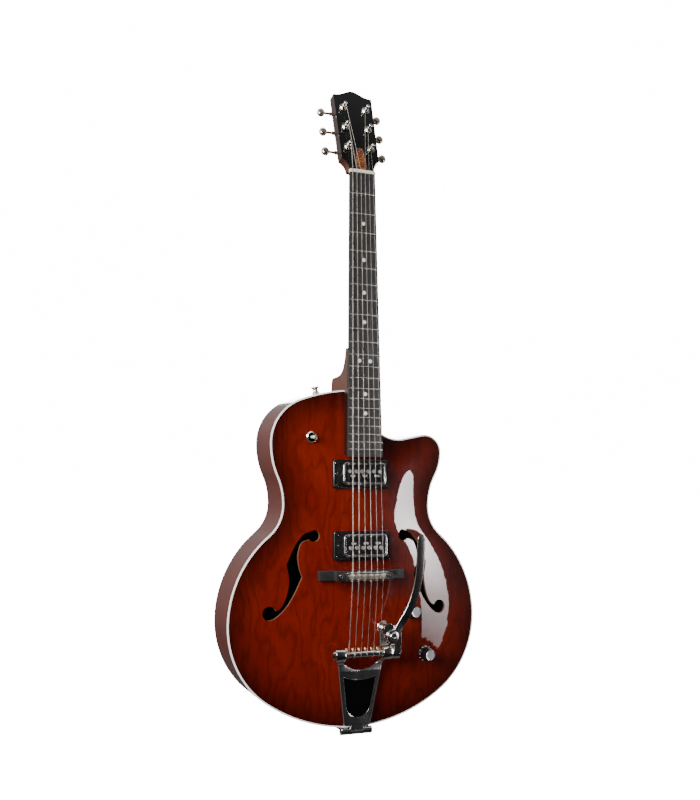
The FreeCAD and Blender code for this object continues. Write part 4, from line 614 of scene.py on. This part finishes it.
finish = {
    "top_wood": top_finish(),
    "body_wood": lacquered_wood("body_wood", rim_stain, None, 0.9, 0.8, 0.30),
    "back_wood": lacquered_wood("back_wood", back_stain, "stain", 0.9, 1.0, 0.26),
    "neck_wood": lacquered_wood("neck_wood", neck_stain, None, 0.9, 0.35, 0.36, neck_shade),
    "cut_wood": lacquered_wood("cut_wood", cut_stain, None, 0.9, 0.0, 0.5),
    "inner_wood": lacquered_wood("inner_wood", inner_painted_shade, None, 0.9, 0.0, 0.75),
    "binding": plastic("binding", (0.95, 0.94, 0.91), 0.22, 0.6, 0.04),
    "black_lacquer": plastic("black_lacquer", (0.0022, 0.0021, 0.0024), 0.14, 1.0, 0.3, 0.12),
    "bone": plastic("bone", (0.82, 0.77, 0.64), 0.30, 0.2, 0.10),
    "black_plastic": plastic("black_plastic", (0.007, 0.007, 0.0076), 0.24, 0.35, 0.3, 0.25),
    "black_satin": plastic("black_satin", (0.022, 0.021, 0.021), 0.36, 0.25, 0.25),
    "knob_black": plastic("knob_black", (0.008, 0.008, 0.0085), 0.22, 0.5, 0.3),
    "white_paint": plastic("white_paint", (0.80, 0.80, 0.78), 0.35, 0.0, 0.08),
    "ivory_plastic": plastic("ivory_plastic", (0.78, 0.70, 0.52), 0.25, 0.4, 0.12),
    "fret_metal": metal("fret_metal", (0.92, 0.89, 0.82), 0.24, 0.10, (1, 1, 20)),
    "steel": metal("steel", (0.72, 0.70, 0.67), 0.16, 0.12),
    "bright_steel": metal("bright_steel", (0.88, 0.85, 0.79), 0.31, 0.10),
    "saddle_nickel": metal("saddle_nickel", (0.95, 0.90, 0.80), 0.46, 0.10),
    "cover_chrome": metal("cover_chrome", (0.80, 0.78, 0.76), 0.20, 0.05),
    "warm_nickel": metal("warm_nickel", (0.70, 0.60, 0.49), 0.24, 0.10),
    "nickel": metal("nickel", (0.82, 0.77, 0.70), 0.09, 0.09),
    "chrome": metal("chrome", (0.82, 0.80, 0.78), 0.13, 0.07),
    "arm_steel": metal("arm_steel", (0.44, 0.43, 0.42), 0.22, 0.05, (3, 3, 0.2)),
    "string_steel": metal("string_steel", (0.90, 0.86, 0.78), 0.36, 0.10),
    "polished_aluminium": metal("polished_aluminium", (0.74, 0.74, 0.75), 0.22, 0.14, (12, 1, 0.3)),
    "brushed_cap": metal("brushed_cap", (0.92, 0.93, 0.94), 0.29, 0.12, (1, 1, 10)),
    "brass": metal("brass", (0.80, 0.56, 0.22), 0.20, 0.14),
    "spring_steel": metal("spring_steel", (0.70, 0.69, 0.67), 0.16, 0.10),
}


def ebony():
    """Near-black wood with open pores."""
    m = Shader("ebony")
    fibre = m.noise(60, 8, 0.6, (14, 14, 0.7))
    pores = m.noise(220, 3, 0.6, (10, 10, 0.4))
    tone = m.ramp(fibre, [(0.3, (0.020, 0.019, 0.019)), (0.7, (0.041, 0.039, 0.037))])
    dark = m.ramp(pores, [(0.35, 0.35), (0.5, 1.0)])
    m.feed(Base_Color=m.mix(0.7, tone, m.mix(1.0, tone, dark, "MULTIPLY")))
    m.feed(Roughness=m.spread(fibre, 0.32, 0.48))
    return m.bump(pores, 0.10, 0.0002).material


def pearl():
    """Mother-of-pearl with pale swirls."""
    m = Shader("pearl", Roughness=0.16)
    swirl = m.noise(240, 6, 0.6, (1, 1, 1.6), 2.5)
    tone = m.ramp(swirl, [(0.25, (0.66, 0.68, 0.70)), (0.5, (0.92, 0.90, 0.86)),
                          (0.75, (0.76, 0.82, 0.80))])
    m.feed(Base_Color=tone, Coat_Weight=0.7)
    return m.bump(swirl, 0.08, 0.0003).material


def tortoise():
    """Brown and amber mottled plastic."""
    m = Shader("tortoise", Roughness=0.15)
    blot = m.noise(150, 5, 0.6, (1, 1, 1), 1.8)
    tone = m.ramp(blot, [(0.38, (0.012, 0.005, 0.003)), (0.5, (0.14, 0.032, 0.008)),
                         (0.64, (0.42, 0.15, 0.03))])
    m.feed(Base_Color=tone, Coat_Weight=0.8, Coat_Roughness=0.03)
    return m.bump(blot, 0.02, 0.0002).material


def wound_wire():
    """Wrapped string: fine bands across the wire, darker in the grooves between turns as painted shade."""
    m = Shader("wound_wire", Metallic=1.0)
    turns = m.node("TexWave", "Fac", {"wave_type": "BANDS", "bands_direction": "Z"}, Scale=420.0)
    # Dark part of each band: painted shade in the groove between turns
    tone = m.ramp(turns, [(0.0, (0.42, 0.38, 0.33)), (0.6, (0.88, 0.83, 0.75))])
    m.feed(Base_Color=tone, Roughness=m.spread(m.noise(300, 3), 0.22, 0.36))
    return m.bump(turns, 0.25, 0.0002).material


finish.update(ebony=ebony(), pearl=pearl(), tortoise=tortoise(), wound_wire=wound_wire())
for node, obj in nodes.items():
    obj.data.materials.clear()
    obj.data.materials.append(finish[slot_of[node]])

# Carved body
f_holes = [F_HOLE, -F_HOLE[::-1].conjugate()]
plate("top_plate_look", finish["top_wood"], BINDING, f_holes, TOP_ARCH, -1, ["top_plate"])
plate("back_plate_look", finish["back_wood"], 0.0, [], BACK_ARCH, 1, ["back_plate"])
ROUND, BINDING_SIDE = 0.8, 1.7
SIDE_FRONT, SIDE_BACK, SIDE_THICK = -HALF_RIM + BINDING_SIDE, HALF_RIM - PLATE, 3
ring("top_binding_look", finish["binding"],
     [(BINDING, -HALF_RIM), (ROUND, -HALF_RIM - 0.02), (ROUND * 0.3, -HALF_RIM + ROUND * 0.3),
      (0, -HALF_RIM + ROUND), (0, SIDE_FRONT), (BINDING, SIDE_FRONT)], ["top_binding"])
ring("sides_look", finish["body_wood"],
     [(0, SIDE_FRONT), (0, -10), (0, 10), (0, SIDE_BACK), (SIDE_THICK, SIDE_BACK), (SIDE_THICK, SIDE_FRONT)],
     ["bass_side", "treble_side"])

# Softened copies of the CAD pieces: finish, and bevel in millimetres
dressed = {
    "arm_bracket": ("chrome", 0.7), "arm_pivot_bolt": ("chrome", 0.3),
    "bridge_bar": ("steel", 0.5), "bridge_base": ("black_satin", 0.6), "saddles": ("saddle_nickel", 0.35),
    "pickup_covers": ("cover_chrome", 1.0), "pickup_rings": ("black_plastic", 0.4),
    "pickup_inserts": ("black_plastic", 0.3), "pole_screws": ("bright_steel", 0.7),
    "small_screws": ("nickel", 0.25), "toggle_nut": ("nickel", 0.4), "output_jack": ("nickel", 0.4),
    "hinge_bracket": ("chrome", 0.5), "hinge_pin": ("chrome", 0.4), "vibrato_shaft": ("chrome", 0.3),
    "nut": ("bone", 0.2), "truss_rod_cover": ("tortoise", 0.15), "headstock_veneer": ("black_lacquer", 0.25),
    "tuner_bushings": ("nickel", 0.25), "strap_buttons": ("nickel", 0.3),
    "fretboard": ("ebony", 0.3), "neck": ("neck_wood", 0.3),
}
made_apart = {"top_plate", "back_plate", "top_binding", "bass_side", "treble_side", "strings",
              "volume_knob", "tone_knob", "vibrato_arm", "tailpiece_frame", "vibrato_spring"}
for node in sorted(set(nodes) - made_apart):
    plain = "warm_nickel" if node.startswith("tuner_key") else slot_of[node]
    look, bevel = dressed.get(node, (plain, 0))
    refined(node, finish[look], bevel)


def bending(obj):
    """Take a piece off its body and bake its place into its mesh."""
    obj.parent = None
    if "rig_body" in obj:
        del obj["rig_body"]
    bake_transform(obj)


SPRING_X, SPRING_Z = 37, 147
bending(refined("vibrato_spring", finish["spring_steel"], 0))

# Neck and headstock frames
SCALE, LEAN, HEAD_LEAN = 631.0, math.radians(3.53), math.radians(-15)
JOIN_FRET, JOIN_H = 14, 24
along_neck = Vector((0, math.sin(LEAN), math.cos(LEAN)))
nut_place = at(0, JOIN_H, LENGTH) + along_neck * (SCALE * (1 - 2 ** (-JOIN_FRET / 12)))
neck_frame = Matrix.Translation(nut_place) @ Matrix.Rotation(-LEAN, 4, "X")
head_frame = neck_frame @ Matrix.Translation((0, 3, 5)) @ Matrix.Rotation(HEAD_LEAN, 4, "X")

# Sizes along the strings; the angles, in degrees, are of the string pins and of the wrap's end before them
BRIDGE_Z, SHAFT_Z, SHAFT_H, SHAFT_R = 226.6, 112.0, 29.0, 4.5
SADDLE_H, SADDLE_Z, NUT_SPAN, SADDLE_SPAN = 46, BRIDGE_Z + 2, 35.5, 50
CROWN_R, POST_X, POST_Y, POST_WAIST, STRING_GAP = 305, 20, -8, 2.5, 0.25
NUT_LIFT, NUT_MID, PIN_ANGLE, WRAP_END = 1.3, 2.5, 125.5, 19
WIND_Y, WIND_RUN, WIND_STEPS, WIND_ROUND = -6.2, 3.6, 70, 20
radii = [0.62, 0.48, 0.36, 0.23, 0.18, 0.14]
rows = [44.0, 83.0, 122.0, 122.0, 83.0, 44.0]


def crown_drop(x):
    """Fall of the crowned fretboard and bridge away from the centre line."""
    return CROWN_R - math.sqrt(CROWN_R ** 2 - x ** 2)


def run_between(p, q, count):
    """Evenly spaced points of a straight run."""
    return [p + (q - p) * (k / count) for k in range(count + 1)]


# Strings: from post to saddle, from saddle to half way, and on to the vibrato shaft
for kind, group in (("wound", range(0, 3)), ("plain", range(3, 6))):
    neck_run, tail_run, shaft_run = Parts(), Parts(), Parts()
    for i in group:
        r = radii[i]
        side = -1 if i < 3 else 1
        post = head_frame @ Vector((side * (POST_X - POST_WAIST - r - STRING_GAP), POST_Y, rows[i]))
        nut_x, x = NUT_SPAN * (i / 5 - 0.5), SADDLE_SPAN * (i / 5 - 0.5)
        over_nut = neck_frame @ Vector((nut_x, crown_drop(nut_x) - NUT_LIFT - r, NUT_MID))
        saddle = at(x, SADDLE_H - crown_drop(x) + STRING_GAP + r, SADDLE_Z)
        neck_run.tube(run_between(post, over_nut, 6) + run_between(over_nut, saddle, 40)[1:], r)

        hub = at(x, SHAFT_H, SHAFT_Z)
        wrap = SHAFT_R + STRING_GAP + r
        rise = saddle - hub
        turn = math.atan2(rise.z, -rise.y) - math.acos(wrap / rise.length)
        stop = turn - (math.degrees(turn) + 360 - PIN_ANGLE - WRAP_END) * math.pi / 180
        coil = [hub + Vector((0, -wrap * math.cos(a), wrap * math.sin(a)))
                for a in np.linspace(turn, stop, 40)]
        middle = saddle + (coil[0] - saddle) * 0.5
        tail_run.tube(run_between(saddle, middle, 16), r)
        shaft_run.tube(run_between(middle, coil[0], 16) + coil[1:], r)

        helix = []
        for k in range(WIND_STEPS):
            a = side * 2 * math.pi * k / WIND_ROUND
            across, along = (POST_WAIST + r) * math.cos(a), (POST_WAIST + r) * math.sin(a)
            down = WIND_Y - WIND_RUN * k / (WIND_STEPS - 1)
            helix.append((side * POST_X + across, down, rows[i] + along))
        winding = Parts().tube([head_frame @ Vector(p) for p in helix], r, 8)
        winding.make("winding_%d" % (i + 1), finish["string_steel"], "tuner_post_%d" % (i + 1))
    look = finish["wound_wire"] if kind == "wound" else finish["string_steel"]
    bending(neck_run.make("strings_neck_" + kind, look, None, ["strings"]))
    bending(tail_run.make("strings_tail_" + kind, look, None, ["strings"]))
    bending(shaft_run.make("strings_shaft_" + kind, look, None, ["strings"]))

# Screws that set the saddles, on both faces of the bridge bar
SCREW_H, SCREW_REACH = 41.2, 6.3
screws = Parts()
for i in range(6):
    for way in (-1, 1):
        foot = at(SADDLE_SPAN * (i / 5 - 0.5), SCREW_H, BRIDGE_Z + way * SCREW_REACH)
        screws.lathe([(1.5, 0), (1.5, 0.7), (1.2, 1.0), (0.5, 1.0), (0.5, 0.55), (0, 0.55)],
                     foot, (0, 0, way), 20)
screws.make("saddle_screws", finish["nickel"], "bridge_bar")

# Vibrato arm: a blade with rounded edges that curves outward and rises from its eye
ARM_FOOT, ARM_THICK, EYE, EYE_BORE = 41.7, 3.2, 9.5, 3.4
FOOT_HALF, TIP_HALF, ARM_ROUND = 5.6, 6.7, 1.3
ARM_RISE, RISE_FROM, RISE_SPAN = 13.5, 39.3, 143.4
TIP_STEPS = (0.35, 0.6, 0.8, 0.92, 0.99)
eye = complex(42.3, SHAFT_Z + 25.3)
bends = ((52.2, 37.8), (70.6, 71.6), (80.4, 113.6), (82.3, 169.3))
course = [eye] + [complex(x, SHAFT_Z + z) for x, z in bends]
course = spline(course, 16) + [course[-1]]
end_way = (course[-1] - course[-2]) / abs(course[-1] - course[-2])
body_rings = len(course)
course += [course[-1] + end_way * TIP_HALF * k for k in TIP_STEPS]


def blade_ring(k):
    """Cross-section of the arm at one step of its course; the last few round off the tip."""
    way = course[min(k + 1, len(course) - 1)] - course[max(k - 1, 0)]
    across = way / abs(way) * -1j
    past = ((0,) + TIP_STEPS)[max(0, k - body_rings + 1)]
    widen = min(1, k / (body_rings - 1))
    half = (FOOT_HALF + (TIP_HALF - FOOT_HALF) * widen) * math.sqrt(1 - past ** 2)
    t = max(0, (course[k].imag - SHAFT_Z - RISE_FROM) / RISE_SPAN)
    foot = ARM_FOOT + ARM_RISE * (1 - (1 - min(t, 1)) ** 1.6) * min(1, t * 9)
    edge = rounded_rect(0, ARM_THICK / 2, half, ARM_THICK / 2, min(ARM_ROUND, half * 0.45))
    spots = [course[k] + across * q.real for q in edge]
    return [at(p.real, foot + q.imag, p.imag) for p, q in zip(spots, edge)]


arm = Parts().skin([blade_ring(k) for k in range(len(course))])
arm.lathe([(EYE_BORE, 0), (EYE - 1, 0), (EYE - 0.3, 0.3), (EYE, 1.0), (EYE, ARM_THICK - 1),
           (EYE - 0.3, ARM_THICK - 0.3), (EYE - 1, ARM_THICK + 0.02), (EYE_BORE, ARM_THICK + 0.02)],
          at(eye.real, ARM_FOOT, eye.imag), (0, -1, 0), 48)
arm.make("vibrato_arm_look", finish["arm_steel"], "vibrato_arm", ["vibrato_arm"], 50)

# Tailpiece frame: rounded plate that divides round its mouth and rises into two bearing housings
HINGE_Z, HINGE_H, HINGE_R, HINGE_HALF, FORK_Z = -3.5, 5, 5.3, 10.6, 87.6
frame_fit = np.polyfit([HINGE_Z, 20, 58, 101], [9.9, 11.8, 15.4, 20.5], 3)
FRAME_THICK, BAR_ROUND, MOUTH_R, MOUTH_Z = 5.5, 1.6, 43.1, 130.6
HOUSING, HOUSING_BORE, HOUSING_IN, HOUSING_OUT = 10.5, 6.6, 30.2, 45.5
HEEL_HALF, HEEL_Z, LEG_HALF, LEG_Z, MOUTH_END = 21.5, 8, 35.7, 95, 97


def frame_h(z):
    """Height of the frame's front above the edge plane."""
    return float(np.polyval(frame_fit, z))


def slab_ring(x0, x1, h, thick, z):
    """Rounded cross-section of a bar between two X places."""
    wide = abs(x1 - x0)
    edge = rounded_rect((x0 + x1) / 2, h - thick / 2, wide / 2, thick / 2, min(BAR_ROUND, wide * 0.45))
    return [at(p.real, p.imag, z) for p in edge]


def leg_ring(side, z):
    """Cross-section of a leg, which rises and widens towards its housing."""
    h = max(frame_h(z), np.interp(z, [LEG_Z, 98, 101, 104, 107, 110], [19.6, 21.6, 25.2, 29.6, 33.4, 35.6]))
    thick = np.interp(z, [LEG_Z, 101, 104, 110], [FRAME_THICK, 8, 10, 13])
    outer = np.interp(z, [HEEL_Z, LEG_Z, 98, 101, 104, 107, 110],
                      [HEEL_HALF, LEG_HALF, 37.6, 40.6, 43.4, 45.0, 45.4])
    if z < MOUTH_END:
        inner = math.sqrt(max(0.25, MOUTH_R ** 2 - (MOUTH_Z - z) ** 2))
    else:
        inner = np.interp(z, [MOUTH_END, 100, 103, 110], [27.0, 28.8, 29.8, 30.4])
    return slab_ring(side * inner, side * outer, h, thick, z)


halves = [(HINGE_Z, 10.4), (4.6, 10.5), (5.3, 19.6), (6.2, 20.9), (HEEL_Z, HEEL_HALF)]
halves += [(z, HEEL_HALF + (z - HEEL_Z) * (LEG_HALF - HEEL_HALF) / (LEG_Z - HEEL_Z))
           for z in np.linspace(12, FORK_Z, 20)]
frame_plate = Parts().skin([slab_ring(-w, w, frame_h(z), FRAME_THICK, z) for z, w in halves])
heights = [86.0] + list(np.linspace(FORK_Z, MOUTH_END, 14)) + list(np.linspace(98, 110, 13))
housings = Parts()
for side in (-1, 1):
    frame_plate.skin([leg_ring(side, z) for z in heights])
    span = HOUSING_OUT - HOUSING_IN
    housings.lathe([(HOUSING_BORE, 0), (9.4, 0), (10.2, 0.3), (HOUSING, 1.1), (HOUSING, span - 1.1),
                    (10.2, span - 0.3), (9.4, span), (HOUSING_BORE, span)],
                   at(side * HOUSING_IN, SHAFT_H, SHAFT_Z), (side, 0, 0), 64, True)
frame_plate.lathe([(HINGE_R, -HINGE_HALF), (HINGE_R, HINGE_HALF)], at(0, HINGE_H, HINGE_Z), (1, 0, 0))
CUP_LOW, CUP_TOP, PIN_TOP, SHELF_X = 14.5, 18, 21.5, 31.2
frame_plate.lathe([(0, CUP_LOW), (9.0, CUP_LOW), (9.5, 15), (9.5, 17.5), (9.0, CUP_TOP), (4.6, CUP_TOP),
                   (4.6, 21), (4.2, PIN_TOP), (0, PIN_TOP)], at(SPRING_X, 0, SPRING_Z), (0, -1, 0))
frame_plate.box((SHELF_X, front(PIN_TOP), SHAFT_Z - 4), (44.5, front(CUP_LOW), SHAFT_Z + 11.5))
frame_plate.box((SHELF_X, front(CUP_TOP), SHAFT_Z + 4), (43.5, front(CUP_LOW), SPRING_Z))
frame_plate.make("tailpiece_frame_look", finish["polished_aluminium"], "root", ["tailpiece_frame"], 40)
housings.make("tailpiece_housings", finish["chrome"], "root", ["tailpiece_frame"], 40)

# Bare black panel let into the frame, with a polished bead round it
PANEL_HALF, PANEL_KNEE, KNEE_Z, BEAD_R = 26.4, 19.5, 33, 0.35
TOE_R, TOE_Z, BROW_R, BROW_Z = 19.84, 36.64, 80.3, 72.5


def panel_ends(x):
    """Lowest and highest Z of the panel at an X place: a round toe, slanting sides and a hollow brow."""
    x = abs(x)
    if x < PANEL_KNEE:
        low = TOE_Z - math.sqrt(TOE_R ** 2 - x ** 2)
    else:
        low = KNEE_Z + (x - PANEL_KNEE) * 44 / 7
    return low, BROW_Z + BROW_R - math.sqrt(BROW_R ** 2 - x ** 2)


columns = np.concatenate([np.linspace(-PANEL_HALF, -PANEL_KNEE, 8), np.linspace(-19.4, 19.4, 45),
                          np.linspace(PANEL_KNEE, PANEL_HALF, 8)])
layers = []
for x in columns:
    rise = np.linspace(*panel_ends(x), 16)
    face = [at(x, frame_h(z) + 0.1, z) for z in rise]
    layers.append(face + [at(x, frame_h(z) - 0.6, z) for z in rise[::-1]])
Parts().skin(layers).make("tailpiece_panel", finish["black_lacquer"], "root")
rim = [(x, panel_ends(x)[0]) for x in columns] + [(x, panel_ends(x)[1]) for x in columns[::-1]]
bead = Parts().tube([at(x, frame_h(z) - 0.05, z) for x, z in rim], BEAD_R, 8, True)
bead.make("panel_bead", finish["polished_aluminium"], "root")

# Control knobs: fluted black skirt with a scale of ticks, and a brushed cap
KNOB_R, KNOB_TOP, KNOB_SEAT = 12, 20.0, 1.1
FLUTES, FLUTE_STEPS, FLUTE_DEEP, FLUTE_LOW, FLUTE_HIGH = 24, 6, 0.35, 6.5, 19.5
SKIRT = [(7.0, 0.0), (11.4, 0.0), (11.85, 0.2), (KNOB_R, 0.6), (KNOB_R, 2.4), (11.8, 2.7), (9.9, 5.4),
         (9.6, 5.9), (9.45, 7), (9.0, 18.6), (8.6, KNOB_TOP), (7.9, 20.4), (7.6, 20.4), (7.5, KNOB_TOP),
         (0.01, KNOB_TOP)]
CAP = [(0, KNOB_TOP), (7.35, KNOB_TOP), (7.35, 20.7), (7.1, 21.0), (6.8, 21.0)]
GROOVES = [(6.6 - 0.2 * k, 20.9 + 0.012 * (k % 2)) for k in range(33)]
TICK_ENDS = ((10.15, 5.13), (11.55, 3.14))
TICK_OUT, TICK_UP, TICK_THICK = 0.82, 0.57, 0.06


def knob_ring(origin, r, t):
    """Ring of the skirt at a height, with flutes on its upright part."""
    deep = FLUTE_DEEP if FLUTE_LOW < t < FLUTE_HIGH else 0.0
    points = []
    for k in range(FLUTE_STEPS * FLUTES):
        a = 2 * math.pi * k / (FLUTE_STEPS * FLUTES)
        q = r - deep * (0.5 + 0.5 * math.cos(2 * math.pi * k / FLUTE_STEPS))
        points.append(origin + Vector((q * math.cos(a), -t, q * math.sin(a))))
    return points


for name, x, z in (("volume_knob", 113.0, 103.0), ("tone_knob", 86.0, 169.0)):
    edge = [top_h(x + KNOB_R * math.cos(a), z + KNOB_R * math.sin(a)) for a in np.linspace(0, 2 * np.pi, 17)]
    origin = at(x, max(edge) + KNOB_SEAT, z)
    skirt = Parts().skin([knob_ring(origin, r, t) for r, t in SKIRT])
    skirt.make(name + "_look", finish["knob_black"], name, [name])
    cap = Parts().lathe(CAP + GROOVES, origin, (0, -1, 0), 64)
    cap.make(name + "_cap", finish["brushed_cap"], name)
    ticks = Parts()
    for k in range(11):
        a = math.radians(240 - 30 * k)
        out, across = Vector((math.cos(a), 0, math.sin(a))), Vector((-math.sin(a), 0, math.cos(a)))
        half = 0.32 if k % 5 else 0.5
        (r0, t0), (r1, t1) = TICK_ENDS
        corners = [origin + out * r + across * (s * half) + Vector((0, -t, 0))
                   for r, t, s in ((r0, t0, -1), (r0, t0, 1), (r1, t1, 1), (r1, t1, -1))]
        lift = (out * TICK_OUT + Vector((0, -TICK_UP, 0))) * TICK_THICK
        ticks.skin([[p - lift for p in corners], [p + lift for p in corners]])
    ticks.make(name + "_ticks", finish["white_paint"], name)


# Studio, in metres
def card(name, points, material):
    """Flat stage piece."""
    mesh = bpy.data.meshes.new(name)
    mesh.from_pydata(points, [], [tuple(range(len(points)))])
    mesh.materials.append(material)
    obj = bpy.data.objects.new(name, mesh)
    bpy.context.scene.collection.objects.link(obj)
    return obj


def dome(name, radius, material):
    """Ball round the stage that casts no shadow and gives no diffuse light."""
    bm = bmesh.new()
    bmesh.ops.create_uvsphere(bm, u_segments=48, v_segments=24, radius=radius)
    mesh = bpy.data.meshes.new(name)
    bm.to_mesh(mesh)
    bm.free()
    mesh.materials.append(material)
    obj = bpy.data.objects.new(name, mesh)
    bpy.context.scene.collection.objects.link(obj)
    obj.visible_diffuse = obj.visible_shadow = False
    return obj


FLOOR, REACH, BACKDROP_R, ROOM_R = -0.0125, 28.0, 41, 8
WHITE, AMBIENT, FLOOR_TONE = 16.0, 0.34, 0.92
pale = Shader("pale_floor", Roughness=0.85, **{"Emission Strength": WHITE - AMBIENT * FLOOR_TONE})
tone = pale.ramp(pale.noise(3, 4), [(0.3, (0.905, 0.905, 0.905)), (0.7, (0.93, 0.93, 0.93))])
pale.feed(Base_Color=tone, Emission_Color=(1.0, 1.0, 1.0))
corners = ((-REACH, -REACH), (REACH, -REACH), (REACH, REACH), (-REACH, REACH))
floor = card("floor", [(x, y, FLOOR) for x, y in corners], pale.material)
floor.visible_glossy = floor.visible_diffuse = False

white = Shader("white_backdrop", Roughness=1.0, **{"Base Color": (0.0, 0.0, 0.0), "Emission Strength": WHITE})
paper = white.ramp(white.noise(0.05, 2), [(0.3, (0.99, 0.99, 0.99)), (0.7, (1.0, 1.0, 1.0))])
white.feed(Emission_Color=paper)
dome("backdrop", BACKDROP_R, white.material).visible_glossy = False


def room_glow():
    """Light that reflections see: dark in front of the guitar, paler at the sides, behind and above."""
    m = Shader("room", Roughness=1.0)
    way = m.node("VectorMath", "Vector", {"operation": "NORMALIZE"}, Vector=m.coords)
    depth = m.ramp(m.spread_from(m.node("SeparateXYZ", "Y", Vector=way), -1, 1),
                   [(0.0, 0.015), (0.25, 0.022), (0.36, 0.32), (0.44, 0.80), (0.60, 0.55), (0.80, 0.26),
                    (1.0, 0.24)])
    lift = m.ramp(m.spread_from(m.node("SeparateXYZ", "Z", Vector=way), -1, 1),
                  [(0.0, 0.15), (0.38, 0.32), (0.50, 0.80), (0.75, 1.7), (1.0, 2.6)])
    soft = m.ramp(m.noise(0.6, 2), [(0.3, 0.85), (0.7, 1.15)])
    m.feed(Base_Color=(0.0, 0.0, 0.0), Emission_Strength=1.0,
           Emission_Color=m.mix(1.0, m.mix(1.0, depth, lift, "MULTIPLY"), soft, "MULTIPLY"))
    return m.material


dome("room", ROOM_R, room_glow()).visible_camera = False

world = bpy.data.worlds.new("studio")
bpy.context.scene.world = world
world.use_nodes = True
world.node_tree.nodes["Background"].inputs["Color"].default_value = (1, 1, 1, 1)
world.node_tree.nodes["Background"].inputs["Strength"].default_value = AMBIENT


def softbox(name, place, aim, width, height, power):
    """Rectangular lamp turned towards a place; power in watts."""
    light = bpy.data.lights.new(name, "AREA")
    light.shape = "RECTANGLE"
    light.size, light.size_y, light.energy = width, height, power
    obj = bpy.data.objects.new(name, light)
    bpy.context.scene.collection.objects.link(obj)
    obj.location = place
    obj.rotation_euler = (Vector(aim) - Vector(place)).to_track_quat("-Z", "Y").to_euler()


def strip_card():
    """Tall narrow softbox that the lacquer and the metal mirror, brighter towards its top."""
    m = Shader("strip", Roughness=1.0)
    low, high, full = -0.40, 0.54, 0.45
    height = m.node("SeparateXYZ", "Z", Vector=m.coords)
    fall = m.ramp(m.spread_from(height, low, full), [(0.0, 0.10), (0.45, 0.30), (1.0, 1.0)])
    m.feed(Base_Color=(0.0, 0.0, 0.0), Emission_Strength=34.0,
           Emission_Color=m.mix(1.0, fall, (1.0, 0.94, 0.965), "MULTIPLY"))
    near, far, lean = (1.315, -1.551), (1.625, -1.267), (0.033, 0.030)
    obj = card("strip", [(*near, low), (*far, low), (*far, high),
                         (near[0] + lean[0], near[1] + lean[1], high)], m.material)
    obj.visible_camera = obj.visible_diffuse = obj.visible_shadow = False


strip_card()
softbox("key", (-2.0, -1.15, 1.1), (0.0, 0, 0.35), 1.2, 1.2, 138)
softbox("edge", (2.2, 0.6, 1.4), (0, 0, 0.4), 0.6, 1.4, 8)
softbox("back_fill", (1.1, 2.4, 1.3), (0, 0, 0.4), 1.4, 1.4, 90)

# Camera: place and turn solved from the photo
lens = bpy.data.cameras.new("camera")
lens.lens, lens.sensor_width, lens.shift_y = 44.3, 36.0, -0.075
lens.clip_end = 300
camera = bpy.data.objects.new("camera", lens)
bpy.context.scene.collection.objects.link(camera)
right = Vector((0.9273, -0.3740, 0.0149)).normalized()
up = Vector((-0.0595, -0.1079, 0.9924)).normalized()
back = right.cross(up).normalized()
up = back.cross(right)
turn = Matrix((right, up, back)).transposed().to_4x4()
camera.matrix_world = Matrix.Translation((-0.5886, -1.4630, 0.3967)) @ turn
bpy.context.scene.camera = camera
